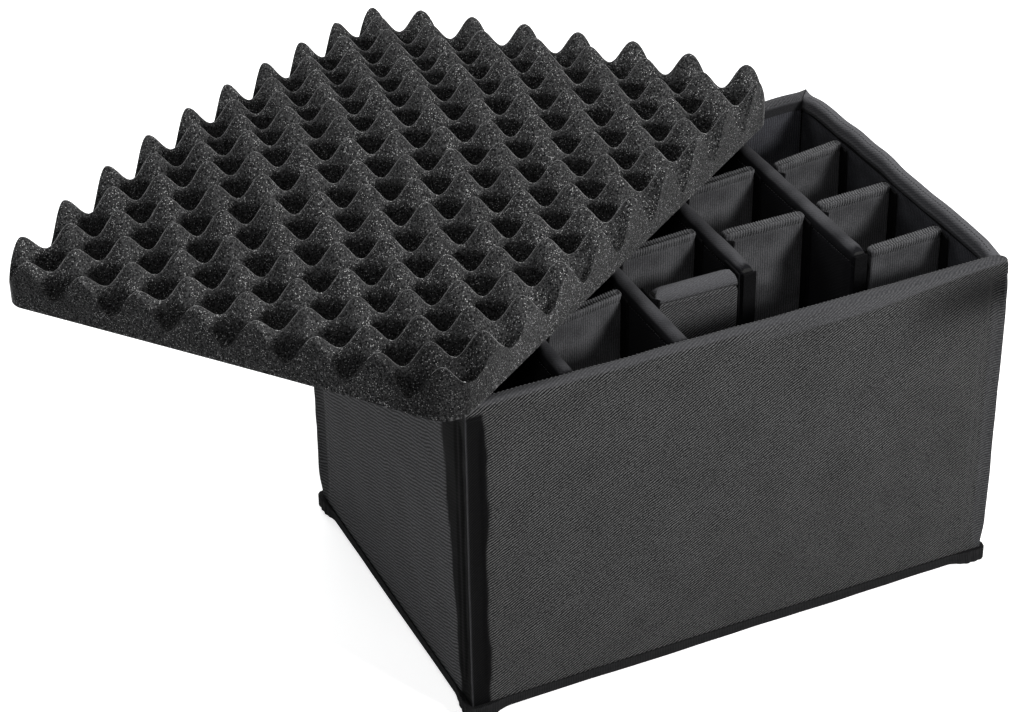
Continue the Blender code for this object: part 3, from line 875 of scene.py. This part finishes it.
def painted_highlight_marks(side, flat_x, z, station, on_leg, inside):
    """Painted highlights on a cover's cloth, where light catches it: the rim, the hem, the
    corner and the padded roll.

    on_leg is 1 on the outer face, inside is 1 on the inner one, and station is the distance
    from the corner. The inner face of the right wall's rim is pale a little further down.
    """
    right_side = side == "right"
    line_z = box_height - (0.0100 if right_side else 0.0040)
    over_rim = rim_pale * ease((z - box_height + 0.0045) / 0.003)
    hem = hem_pale * inside * ease((box_height - rim_radius + 0.001 - z) / 0.001)
    corner = corner_pale * on_leg * ease((0.0012 - station) / 0.0006)
    if right_side:
        lower = rim_pale * inside * ease((z - line_z) / 0.0012)
        over_rim = np.maximum(over_rim, lower)
        hem = hem * (z < box_height - 0.0095)
    if side == "front":
        by_end = ease((flat_x - wall_table[side][0] / 2 + 0.0095) / 0.003)
        pale = end_pale * on_leg * by_end * ease((box_height - 0.030 - z) / 0.040)
        corner = np.maximum(corner, pale)
    line = inside * dent(z - line_z, 0.0010)
    bright_roll = roll_pale * on_leg * front_roll(side, flat_x, z)
    return np.maximum.reduce((over_rim, corner, hem, line, bright_roll))


print("over a rim the cloth is", rim_pale, "of the way to its pale edge colour")

# %% Covers


def wall_cover(side):
    """Carry the section along a wall. Deeper points stop shorter, so that two covers mitre."""
    length, place_x, place_y, yaw = wall_table[side]
    half = length / 2
    outer, inner = cover_paths()
    fine = np.linspace(0, corner_band * 1.5, 26)
    coarse = np.arange(fine[-1] + wall_step, half, wall_step)
    distance = np.concatenate((fine, coarse, [half]))
    distance = np.concatenate((distance, distance[-2::-1]))
    sign = np.where(np.arange(len(distance)) < len(distance) // 2, -1.0, 1.0)
    section = np.concatenate((outer, inner[::-1]))
    depth = np.broadcast_to(section[:, 0], (len(distance), len(section)))
    z = np.broadcast_to(section[:, 1], depth.shape)
    station = np.broadcast_to(distance[:, None], depth.shape)
    flat_x = sign[:, None] * (half - gap - station)
    on_leg = 1.0 * (section[:, 0] <= cover_thickness)
    inside = depth > wall_thickness / 2
    relief = cover_relief(side, flat_x, z, station, half) * on_leg
    settled = depth - relief
    mitre = settled * np.clip(1 - station / corner_band, 0, 1)
    x = sign[:, None] * np.maximum(half - gap - station - mitre, 0)
    lifted = z + rim_wave(side, x) * ease((z - box_height + 0.05) / 0.05)
    points = turned(np.stack((x, settled, lifted), axis=-1), (place_x, place_y, 0), yaw)
    rows, columns = depth.shape
    quads = grid_quads(rows, columns, wrap=True)
    up = run_length(np.concatenate((section, section[:1])))
    wide_x = np.concatenate((flat_x, flat_x[:, :1]), axis=1)
    cloth = grid_cloth_uv(wide_x, np.broadcast_to(up, wide_x.shape))
    count = len(outer)
    step = np.arange(count - 1)
    cap = np.stack((step, step + 1, columns - 2 - step, columns - 1 - step), axis=1)
    caps = np.concatenate((cap, cap + (rows - 1) * columns))
    cap_uv = np.zeros((len(caps), 4, 2))
    # The inner hem is smooth cloth, painted near black like the shaded bands.
    hem = inside * ease((box_height - rim_radius + 0.001 - z) / 0.001)
    # Painted shade where the cloth is smooth, and painted highlights on rims, corners and roll.
    marks = {
        "smooth_shaded_cloth": np.maximum(pulled_shade_band(side, flat_x, z) * on_leg, hem),
        "painted_highlight": painted_highlight_marks(side, flat_x, z, station, on_leg, inside),
    }
    piece = make_piece(
        side + "_cover_cloth",
        points.reshape(-1, 3),
        np.concatenate((quads, caps)),
        {"left": lit_left_twill, "right": highlit_right_twill}.get(side, twill),
        np.concatenate((cloth, cap_uv)),
        marks,
    )
    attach(piece, "box")
    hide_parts(side + "_cover")
    return piece


for side in wall_table:
    piece = wall_cover(side)
    print(piece.name, len(piece.data.polygons), "faces")

# %% [markdown]
# ## Stitching
# Thread is what tells cloth from plastic. A stitch is a short tube that dives into the cloth
# at both ends, and a seam is a row of them. All stitches of a seam are made at once: an
# array of paths, with a small ring of points round each point of each path.

# %% Stitch helper
ring_count = 6
thread_radius, seam_thread_radius, ladder_thread_radius = 0.00032, 0.00030, 0.00050
stitch_length, stitch_space = 0.0026, 0.0012


def thread_tubes(name, paths, radius, finish, up=(0, 0, 1)):
    """Tubes round many paths at once. paths is (tubes, points, 3).

    Each ring is the path's point plus the radius times cosine and sine of an angle along
    two directions square to the path. The radius shrinks at both ends.
    """
    ahead = np.gradient(paths, axis=1)
    ahead /= np.linalg.norm(ahead, axis=2, keepdims=True) + 1e-12
    side = np.cross(ahead, np.broadcast_to(np.asarray(up, float), ahead.shape))
    side /= np.linalg.norm(side, axis=2, keepdims=True) + 1e-12
    lift = np.cross(side, ahead)
    angle = np.linspace(0, 2 * np.pi, ring_count, endpoint=False)
    share = np.linspace(0, 1, paths.shape[1])
    size = radius * (0.35 + 0.65 * np.sqrt(np.clip(4 * share * (1 - share), 0, 1)))
    around = (
        side[:, :, None] * np.cos(angle)[None, None, :, None]
        + lift[:, :, None] * np.sin(angle)[None, None, :, None]
    )
    points = paths[:, :, None] + around * size[None, :, None, None]
    tubes, stops = paths.shape[:2]
    quads = grid_quads(stops, ring_count, wrap=True)
    ends = np.array(((0, 1, 2, 3), (0, 3, 4, 5)))
    one = np.concatenate((quads, ends, ends + (stops - 1) * ring_count))
    offset = np.arange(tubes)[:, None, None] * stops * ring_count
    return make_piece(name, points.reshape(-1, 3), (one[None] + offset).reshape(-1, 4), finish)


def stitch_row(start, end, height, normal):
    """Paths of a row of stitches between two points. Each arches by half a sine."""
    start, end, normal = (np.asarray(corner, float) for corner in (start, end, normal))
    span = np.linalg.norm(end - start)
    along = (end - start) / span
    count = max(int(span / (stitch_length + stitch_space)), 1)
    first = (np.arange(count) + 0.5) * span / count - stitch_length / 2
    share = np.linspace(0, 1, 6)
    run = first[:, None] + share[None] * stitch_length
    arch = height * (np.sin(np.pi * share) - 0.35)
    return start + run[..., None] * along + arch[None, :, None] * normal


print("a stitch every", round((stitch_length + stitch_space) * 1000, 1), "mm")

# %% Rim stitches
seam_depth, seam_z = 0.0078, box_height - 0.00005
for side, (length, place_x, place_y, yaw) in wall_table.items():
    reach_x = length / 2 - wall_thickness - 0.004
    left_end, right_end = ((way * reach_x, seam_depth, seam_z) for way in (-1, 1))
    row = stitch_row(left_end, right_end, 0.0007, (0, 0, 1))
    row[..., 2] += rim_wave(side, row[..., 0])
    row = turned(row, (place_x, place_y, 0), yaw)
    seam = thread_tubes(side + "_rim_stitches", row, thread_radius, thread)
    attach(seam, "box")
    print(seam.name, len(row), "stitches")

# %% [markdown]
# ## Upright padded shapes
# Linings, divider panels and sleeves are all the same kind of thing: a thin block that
# stands on its edge. Its plan is a rounded rectangle, and each level moves that outline
# inward by an amount from a profile. At the top the outline closes to a line. A relief
# function of the place along it and the height can then push points outward, for folds and
# seams.

# %% Upright shape helper


def plan_ring(half_x, half_y, radius, step):
    """A rounded rectangle once round: the unit place of its core, and its outward direction."""
    count_x = max(int(round(2 * (half_x - radius) / step)), 1)
    count_y = max(int(round(2 * (half_y - radius) / step)), 1)
    core, outward = [], []
    for quarter, (sx, sy) in enumerate(((1, 1), (-1, 1), (-1, -1), (1, -1))):
        angle = np.radians(90 * quarter + np.linspace(0, 90, 5))
        core.append(np.broadcast_to((sx, sy), (5, 2)))
        outward.append(np.stack((np.cos(angle), np.sin(angle)), axis=1))
        next_corner = ((-1, 1), (-1, -1), (1, -1), (1, 1))[quarter]
        count = count_x if quarter % 2 == 0 else count_y
        share = np.linspace(0, 1, count + 1)[1:-1, None]
        core.append(np.array((sx, sy)) * (1 - share) + np.array(next_corner) * share)
        straight = np.radians(90 * quarter + 90)
        outward.append(np.broadcast_to((np.cos(straight), np.sin(straight)), (len(share), 2)))
    return np.concatenate(core).astype(float), np.concatenate(outward)


def inset_rings(half_x, half_y, radius, profile, step):
    """Rings of a rounded rectangle, each moved inward. profile is rows of (inset, z).

    The corner radius takes up the inset first, and then the straight sides do.
    """
    core, outward = plan_ring(half_x, half_y, radius, step)
    inset, z = profile[:, :1], profile[:, 1:]
    ring_radius = np.maximum(radius - inset, 0)
    shrink = np.maximum(inset - radius, 0)
    core_x = np.maximum(half_x - radius - shrink, 0)
    core_y = np.maximum(half_y - radius - shrink, 0)
    x = core[None, :, 0] * core_x + outward[None, :, 0] * ring_radius
    y = core[None, :, 1] * core_y + outward[None, :, 1] * ring_radius
    return x, y, np.broadcast_to(z, x.shape), outward


def upright_points(length, thickness, radius, profile, step, relief=None, skew=0.0):
    """Points of an upright block: (levels, ring, 3). profile is rows of (inset, z)."""
    x, y, z, outward = inset_rings(length / 2, thickness / 2, radius, profile, step)
    if relief is not None:
        push = relief(x, z)
        x = x + push * outward[None, :, 0]
        y = y + push * outward[None, :, 1]
    return np.stack((x, y + skew * x / length, z), axis=-1)


def upright_piece(name, points, finish, place, yaw, marks=None):
    """Close an upright block at its foot and its top, and give it its cloth lengths.

    marks is a dict of functions of x along the block, y across it and height z.
    """
    levels, ring = points.shape[:2]
    middle = points[0].mean(axis=0)
    foot = points[0] + (middle - points[0]) * np.array((0.0, 1.0, 0.0))
    rows = np.concatenate((foot[None], points))
    quads = grid_quads(levels + 1, ring, wrap=True)
    looped = np.concatenate((rows, rows[:, :1]), axis=1)
    along = run_length(looped[2, :, :2])
    up_steps = np.linalg.norm(np.diff(rows, axis=0), axis=2).max(axis=1)
    up = np.concatenate(([0], np.cumsum(up_steps)))
    cloth = grid_cloth_uv(along, up[:, None])
    world = turned(rows, place, yaw)
    values = {key: rule(*np.moveaxis(rows, -1, 0)) for key, rule in (marks or {}).items()}
    return make_piece(name, world.reshape(-1, 3), quads, finish, cloth, values)


print("upright helper ready")

# %% [markdown]
# ## Linings and floor
# The loop cloth inside is glued to the boards, so it is nearly flat. It only sinks a little
# where glue has pulled it. The floor is the same cloth, laid on the base board.

# %% Linings


def lining_relief(seed, top):
    """Shallow waves that only ever sink, and none at the top, where the cloth closes."""
    def push(x, z):
        """Waves held at or below 0, eased away near the top."""
        wave = np.minimum(ripples(x, z, seed, (0.09, 0.04), (0.0003, 0.0002)) - 0.0003, 0)
        return wave * ease((top - z) / 0.010)
    return push


for number, (side, (length, place_x, place_y, yaw)) in enumerate(wall_table.items()):
    low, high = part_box(side + "_lining")
    levels = np.linspace(low.z, high.z, 60)
    profile = np.stack((np.zeros_like(levels), levels), axis=1)
    profile[-1, 0] = lining_thickness / 2
    lining_length = length - 2 * wall_thickness - 2 * gap
    points = upright_points(
        lining_length, lining_thickness, 0.0004, profile, 0.005, lining_relief(40 + number, high.z)
    )
    depth = wall_thickness - lining_thickness / 2
    place = (place_x - depth * np.sin(yaw), place_y + depth * np.cos(yaw), 0)
    piece = upright_piece(side + "_loop_lining", points, shaded_loop, place, yaw)
    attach(piece, "box")
    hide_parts(side + "_lining")
    print(piece.name, len(piece.data.polygons), "faces")

# %% Floor cloth and base cloth


def flat_block(name, half_x, half_y, radius, rings, finish):
    """A lying block from rings of (inset, z), closed at both ends to a line."""
    points = np.stack(inset_rings(half_x, half_y, radius, rings, 0.006)[:3], axis=-1)
    looped = np.concatenate((points, points[:, :1]), axis=1)
    cloth = grid_cloth_uv(looped[..., 0], looped[..., 1])
    quads = grid_quads(*points.shape[:2], wrap=True)
    return make_piece(name, points.reshape(-1, 3), quads, finish, cloth)


floor_low, floor_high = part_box("floor_lining")
half_x, half_y = floor_high.x, floor_high.y
insets = np.linspace(0, half_y, 30)
low_rings = np.stack((insets[::-1], np.full_like(insets, floor_low.z)), axis=1)
high_rings = np.stack((insets, np.full_like(insets, floor_high.z)), axis=1)
floor_rings = np.concatenate((low_rings, high_rings))
floor_cloth = flat_block("floor_loop_cloth", half_x, half_y, 0.002, floor_rings, shaded_loop)
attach(floor_cloth, "box")
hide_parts("floor_lining")

dish_start, dish_end = 0.016, 0.032


def dish(inset):
    """Height of the underside: lifted at the edge, eased down to the flat middle."""
    return edge_lift * (1 - ease((inset - dish_start) / (dish_end - dish_start)))


half_x, half_y = box_length / 2, box_width / 2
edge = np.linspace(0, dish_start, 6)
slope = np.linspace(dish_start, dish_end, 12)[1:]
insets = np.concatenate((edge, slope, np.linspace(dish_end, half_y, 26)[1:]))
under = np.stack((insets[::-1], dish(insets[::-1])), axis=1)
over = np.stack((insets, dish(insets) + cover_thickness), axis=1)
base_rings = np.concatenate((under, over))
base_cloth = flat_block("base_cover_cloth", half_x, half_y, 0.004, base_rings, twill)
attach(base_cloth, "box")
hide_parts("base_cover")
print("floor and base cloth laid")

# %% [markdown]
# ## Binding tape
# Black tape is folded over the bottom edge, where walls and base are sewn together. At each
# corner there is more tape than edge, so it swells into a soft lobe that hangs a little
# lower. The tape's section is carried round a rounded rectangle, and near a corner the
# section drops and swells, with small pleats.

# %% Binding
binding_reach, binding_step, fold_radius, edge_radius = 0.014, 0.002, 0.0012, 0.0004
pucker_near, pucker_length, pucker_drop, pucker_swell = 0.012, 0.034, 0.0034, 0.0026
pleat_height, pleat_length = 0.0005, 0.0075
plan_radius = 0.001
leg_top = edge_lift - gap


def binding_section():
    """The tape's closed section, as (offset from the box's side, z), from its outer foot up."""
    face = gap + binding_thickness
    foot_z, shoulder_z = binding_foot + fold_radius, binding_top - edge_radius
    outer_leg = np.stack((np.full(8, face), np.linspace(foot_z, shoulder_z, 8)), axis=1)
    top_edge = ((face - 0.0003, binding_top), (gap + 0.0003, binding_top), (gap, shoulder_z))
    inner = ((gap, leg_top + edge_radius), (gap, leg_top))
    inward = np.linspace(gap, -binding_reach, 9)[1:]
    outward = np.linspace(-binding_reach, face - fold_radius, 9)
    under_top = np.stack((inward, np.full_like(inward, leg_top)), axis=1)
    under_low = np.stack((outward, np.full_like(outward, binding_foot)), axis=1)
    turn = np.radians(np.linspace(-90, 0, 5)[1:-1])
    fold = (face - fold_radius + fold_radius * np.cos(turn), foot_z + fold_radius * np.sin(turn))
    fold = np.stack(fold, axis=1)
    return np.concatenate((outer_leg, top_edge, inner, under_top, under_low, fold))


def binding_tape_ring():
    """The tape's section at every place round the edge. It drops and swells by a corner."""
    half = np.array((box_length / 2, box_width / 2))
    core, outward = plan_ring(half[0], half[1], plan_radius, binding_step)
    place = core * (half - plan_radius)
    from_corner = np.max(half[None] - np.abs(place), axis=1)
    pucker = ease(1 - np.maximum(from_corner - pucker_near, 0) / (pucker_length - pucker_near))
    section = binding_section()
    offset, z = section[:, 0][None], section[:, 1][None]
    outside = offset > gap + 1e-6
    low_share = np.clip((binding_top - z) / (binding_top - binding_foot), 0, 1)
    hangs = np.where((z > leg_top - 1e-6) & ~outside, 0.0, low_share)
    run = run_length(place)
    pleat = pleat_height * np.sin(2 * np.pi * run / pleat_length) * pucker
    out = offset + outside * (pucker * pucker_swell + pleat)[:, None]
    x = place[:, :1] + outward[:, :1] * (out + plan_radius)
    y = place[:, 1:] + outward[:, 1:] * (out + plan_radius)
    drop = pucker_drop * pucker[:, None] * hangs
    slump = ripples(run, 0 * run, 61, (0.16, 0.05), (0.0004, 0.0002))
    slump = slump[:, None] * hangs * (1 - pucker[:, None])
    points = np.stack((x, y, z - drop + slump), axis=-1)
    rows, columns = points.shape[:2]
    along = np.concatenate((run, [run[-1] + binding_step]))
    up = run_length(np.concatenate((section, section[:1])))
    cloth = grid_cloth_uv(along[:, None], up)
    quads = grid_quads(rows + 1, columns, wrap=True) % (rows * columns)
    return make_piece("binding_tape_ring", points.reshape(-1, 3), quads, binding_tape, cloth)


binding = binding_tape_ring()
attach(binding, "box")
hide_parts("bottom_binding")
print("binding has", len(binding.data.polygons), "faces")

# %% [markdown]
# ## Sleeved dividers
# The long dividers and one cross divider wear a twill sleeve with a full, rolled top. A
# seam runs along each side a finger's width below the top, where the roll is sewn shut. It
# pinches the cloth, and the cloth between seam and foot lies slack.

# %% Sleeve section
sleeve_seam_drop, sleeve_radius, sleeve_step = 0.0125, 0.004, 0.004
end_radius = 0.010


def sleeve_levels(top, foot, half_thickness):
    """Profile of a sleeve: up the side, pinched at the seam, then round to the top line."""
    seam, shoulder = top - sleeve_seam_drop, top - half_thickness
    low = np.arange(foot, seam - 0.004, sleeve_step)
    near = np.linspace(seam - 0.004, seam + 0.003, 15)
    levels = np.concatenate((low, near[near < shoulder]))
    side = np.stack((np.zeros_like(levels), levels), axis=1)
    turn = np.radians(np.linspace(0, 90, 14))
    arc = (half_thickness * (1 - np.cos(turn)), shoulder + half_thickness * np.sin(turn))
    return np.concatenate((side, np.stack(arc, axis=1))), seam


def sleeve_relief(seed, seam, top, half_length):
    """Folds of a sleeve: the seam's pinch, slack cloth below it and a lumpy roll above."""
    def push(x, z):
        """The pinch, plus slack below the seam, lumps above it, and drawn-in ends."""
        pinch = -0.0011 * dent(z - seam, 0.0014)
        slack = np.minimum(ripples(x, z, seed, (0.10, 0.045), (0.0006, 0.0003)) - 0.0004, 0)
        roll = np.minimum(ripples(x, z, seed + 1, (0.05, 0.018), (0.0004, 0.00025)) - 0.0002, 0)
        below = ease((seam - z) / 0.006)
        ends = -0.0006 * dent(np.abs(x) - half_length + 0.006, 0.003)
        return (pinch + slack * below + roll * (1 - below) + ends) * ease((top - z) / 0.002)
    return push


print("a sleeve's seam lies", sleeve_seam_drop * 1000, "mm below its top")

# %% Sleeve marks and ends


def sleeve_marks(seed, seam, top, thickness, half_length, long_one):
    """Where a sleeve is smooth and painted dark, and where its roll gets a painted highlight.

    A long sleeve is smooth cloth, painted dark all over, partly as painted shade. Its roll has a
    painted highlight along the top in uneven stretches, and not at its ends. The short one is
    twill, with a painted highlight all over its roll.
    """
    if not long_one:
        return {"painted_highlight": lambda x, y, z: 0.8 * ease((z - seam - 0.001) / 0.003)}

    def rolled(x, y, z):
        """A painted highlight in uneven stretches along the roll, on its top and away from its
        ends.
        """
        stretches = np.clip(0.75 + ripples(x, y, seed, (0.06, 0.02), (0.30, 0.20)), 0, 1)
        on_top = ease((z - top + 0.30 * thickness) / 0.0022)
        return stretches * on_top * ease((half_length - 0.006 - np.abs(x)) / 0.004)

    return {"smooth_shaded_cloth": lambda x, y, z: 1 + 0 * z, "painted_highlight": rolled}


def round_ends(points, half_length, top):
    """Let a sleeve's top fall away at its ends: r - sqrt(r r - x x) within r of an end."""
    over = np.clip((np.abs(points[..., 0]) - half_length + end_radius) / end_radius, 0, 1)
    drop = end_radius * (1 - np.sqrt(np.maximum(1 - over * over, 0.0)))
    points[..., 2] -= 0.8 * drop * ease((points[..., 2] - top + 0.030) / 0.030)


print("a sleeve's ends fall away over", end_radius * 1000, "mm")

# %% Sleeves


def sleeve(name, node, body, seed, along_y=True):
    """Dress one sleeved divider, with its two seams of stitches."""
    low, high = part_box(node)
    size = high - low
    length, thickness = (size.y, size.x) if along_y else (size.x, size.y)
    middle = ((low.x + high.x) / 2, (low.y + high.y) / 2, 0)
    yaw = np.radians(90) if along_y else 0.0
    profile, seam = sleeve_levels(high.z, low.z, thickness / 2)
    relief = sleeve_relief(seed, seam, high.z, length / 2)
    points = upright_points(length, thickness, sleeve_radius, profile, sleeve_step, relief)
    round_ends(points, length / 2, high.z)
    marks = sleeve_marks(seed, seam, high.z, thickness, length / 2, along_y)
    finish = shaded_sleeve_twill if along_y else lit_divider_twill
    piece = upright_piece(name, points, finish, middle, yaw, marks)
    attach(piece, body)
    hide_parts(node)
    rows = []
    reach_x, pinched = length / 2 - 0.006, thickness / 2 - 0.0010
    for way in (-1, 1):
        ends = ((-reach_x, way * pinched, seam), (reach_x, way * pinched, seam))
        rows.append(stitch_row(*ends, 0.0005, (0, way, 0)))
    paths = turned(np.concatenate(rows), middle, yaw)
    seams = thread_tubes(name + "_stitches", paths, seam_thread_radius, thread)
    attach(seams, body)
    return piece


for number in (1, 2, 3, 4):
    node = f"long_{number}_sleeve"
    piece = sleeve(f"long_{number}_cloth", node, "box", 70 + number)
    print(piece.name, len(piece.data.polygons), "faces")
piece = sleeve("cross_3_front_cloth", "cross_3_front_sleeve", "cross_3_front", 81, along_y=False)
print(piece.name, len(piece.data.polygons), "faces")

# %% [markdown]
# ## Thin cross dividers
# The cross dividers are loop cloth glued to both faces of a foam sheet. Their top edge is
# sewn over with a ladder of thread, with a firm bead along each side of it. The ladder is
# one path over the top, repeated along the edge.

# %% Panel sizes
# Where each panel's left and right ends stand along Y.
cross_ends = {
    "cross_2_front": (-0.06838, -0.05253),
    "cross_3_mid": (0.00062, 0.00559),
    "cross_4_front": (-0.00963, -0.01057),
    "cross_4_back": (0.07055, 0.07739),
    "cross_5_front": (-0.08796, -0.08392),
    "cross_5_mid": (-0.00342, -0.00062),
    "cross_5_back": (0.07242, 0.08361),
}
cross_thickness, panel_radius, foot_inset = 0.009, 0.0030, 0.0012
ladder_pitch, ladder_lean, lean_spread = 0.0026, 0.0009, 0.0004
sewn_zone, bead_start = 0.012, 0.0037
# The bead is (inset, z below the top), from the side to the middle of the top.
bead_profile = 0.001 * np.array((
    (0.0, -3.6), (-0.3, -3.0), (-0.5, -2.3), (-0.5, -1.6), (-0.2, -0.8), (0.4, -0.2),
    (1.0, 0.0), (1.6, -0.2), (2.1, -0.7), (2.7, -1.0), (3.6, -1.1), (4.5, -1.1),
))
# One thread of the ladder is (across, z below the top). Its second half mirrors the first.
half_ladder = 0.001 * np.array((
    (-4.6, -7.2), (-4.9, -5.0), (-5.2, -2.4), (-4.8, -0.4), (-3.6, 0.4), (-1.8, -0.6), (0.0, -0.8)
))
ladder_section = np.concatenate((half_ladder, (half_ladder * (-1, 1))[-2::-1]))
print("a ladder has a rung every", ladder_pitch * 1000, "mm")

# %% Cross dividers


def panel_relief(seed, top):
    """A panel is flat, sinks a little in waves, and is drawn in below its sewn top."""
    def push(x, z):
        """Waves held at or below 0, plus one dent where the top is sewn."""
        wave = np.minimum(ripples(x, z, seed, (0.08, 0.035), (0.0004, 0.0002)) - 0.0003, 0)
        drawn = -0.0007 * dent(z - top + 0.0065, 0.0016)
        return (wave + drawn) * ease((top - 0.004 - z) / 0.004)
    return push


def cross_panel(name, left_y, right_y, seed):
    """One thin divider with its sewn top edge, on its own body."""
    low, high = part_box(name + "_panel")
    length = high.x - low.x
    middle = ((low.x + high.x) / 2, (left_y + right_y) / 2, 0)
    skew = right_y - left_y
    face_levels = np.arange(low.z, high.z - sewn_zone, 0.004)
    sewn_levels = np.arange(high.z - sewn_zone, high.z - bead_start, 0.0008)
    levels = np.concatenate((face_levels, sewn_levels))
    side = np.stack((np.zeros_like(levels), levels), axis=1)
    side[0, 0] = foot_inset
    profile = np.concatenate((side, bead_profile + np.array((0, high.z))))
    relief = panel_relief(seed, high.z)
    points = upright_points(length, cross_thickness, panel_radius, profile, 0.003, relief, skew)
    panel = upright_piece(name + "_cloth", points, loop_cloth, middle, 0.0)
    count = int((length - 0.006) / ladder_pitch)
    run = (np.arange(count) - (count - 1) / 2) * ladder_pitch
    lean = ladder_lean + lean_spread * np.random.RandomState(seed).uniform(-1, 1, count)
    across = np.linspace(-1, 1, len(ladder_section))
    x = run[:, None] + lean[:, None] * across[None]
    y = np.broadcast_to(ladder_section[:, 0], x.shape) + skew * x / length
    z = np.broadcast_to(ladder_section[:, 1] + high.z, x.shape)
    paths = np.stack((x + middle[0], y + middle[1], z), axis=-1)
    ladder = thread_tubes(
        name + "_edge_ladder", paths, ladder_thread_radius, edge_thread, up=(1, 0, 0)
    )
    for piece in (panel, ladder):
        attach(piece, name)
    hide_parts(name + "_panel")
    return panel


for seed, (name, (left_y, right_y)) in enumerate(cross_ends.items(), 101):
    piece = cross_panel(name, left_y, right_y, seed)
    print(piece.name, len(piece.data.polygons), "faces")

# %% [markdown]
# ## Hook tape
# Each divider ends in a strip of hook tape, wider than the divider, which grips the loop
# cloth. After some use its free corner curls away at the top. The strip is a thin closed
# block, and the curl lifts its points away from the wall.

# %% Hook strips
strip_edge, strip_hold, curl_height = 0.0007, 0.0045, 0.032


def hook_strip(name, node, body, away, curl):
    """A strip on its CAD place. away is the way its free side faces: (x, y).

    The curl grows from strip_hold out to the strip's free side, and over curl_height to the
    top. Curled cloth also moves a third of that way along its wall.
    """
    low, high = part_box(node)
    along_y = high.y - low.y > high.x - low.x
    width = high.y - low.y if along_y else high.x - low.x
    thickness = high.x - low.x if along_y else high.y - low.y
    middle = ((low.x + high.x) / 2, (low.y + high.y) / 2, 0)
    levels = np.linspace(low.z + strip_edge, high.z - strip_edge, 60)
    straight = np.stack((np.zeros_like(levels), levels), axis=1)
    top_rows = ((strip_edge, high.z), (thickness / 2, high.z))
    profile = np.concatenate((((strip_edge, low.z),), straight, top_rows))
    points = upright_points(width, thickness, strip_edge, profile, 0.002)
    over = ease((-points[..., 0] - strip_hold) / (width / 2 - strip_hold))
    lift = curl * over * ease((points[..., 2] - high.z + curl_height) / curl_height)
    world = turned(points, middle, np.radians(90) if along_y else 0.0)
    thin = 0 if along_y else 1
    world[..., 0] += lift * away[0]
    world[..., 1] += lift * away[1]
    world[..., 1 - thin] += 0.35 * lift
    foot = world[:1].copy()
    foot[..., thin] = foot[..., thin].mean()
    world = np.concatenate((foot, world))
    quads = grid_quads(*world.shape[:2], wrap=True)
    piece = make_piece(name, world.reshape(-1, 3), quads, hook_tape)
    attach(piece, body)
    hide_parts(node)
    return piece


strips = []
for name in list(cross_ends) + ["cross_3_front"]:
    chance = np.random.RandomState(200 + len(strips))
    left_curl, right_curl = 0.0045 + 0.002 * chance.uniform(), 0.0012 * chance.uniform()
    for end, away, curl in (("left", (1, 0), left_curl), ("right", (-1, 0), right_curl)):
        strips.append(hook_strip(f"{name}_{end}_tape", f"{name}_{end}_hook", name, away, curl))
for number in (1, 2, 3, 4):
    front_curl = 0.0 if number > 2 else 0.001
    for end, away, curl in (("front", (0, 1), front_curl), ("back", (0, -1), 0.001)):
        name = f"long_{number}_{end}"
        strips.append(hook_strip(name + "_tape", name + "_hook", "box", away, curl))
print(len(strips), "strips of hook tape")

# %% [markdown]
# ## What stays from the frame
# The foam boards inside the walls and the cores inside the sleeves are stiff and hidden, so
# they keep their CAD shape and only get a foam finish.

# %% Boards and cores
kept = [o for n, o in nodes.items() if n.endswith("_board") or n.endswith("_core")]
for obj in kept:
    obj.data.materials.clear()
    obj.data.materials.append(foam_board)
print(len(kept), "boards and cores kept")
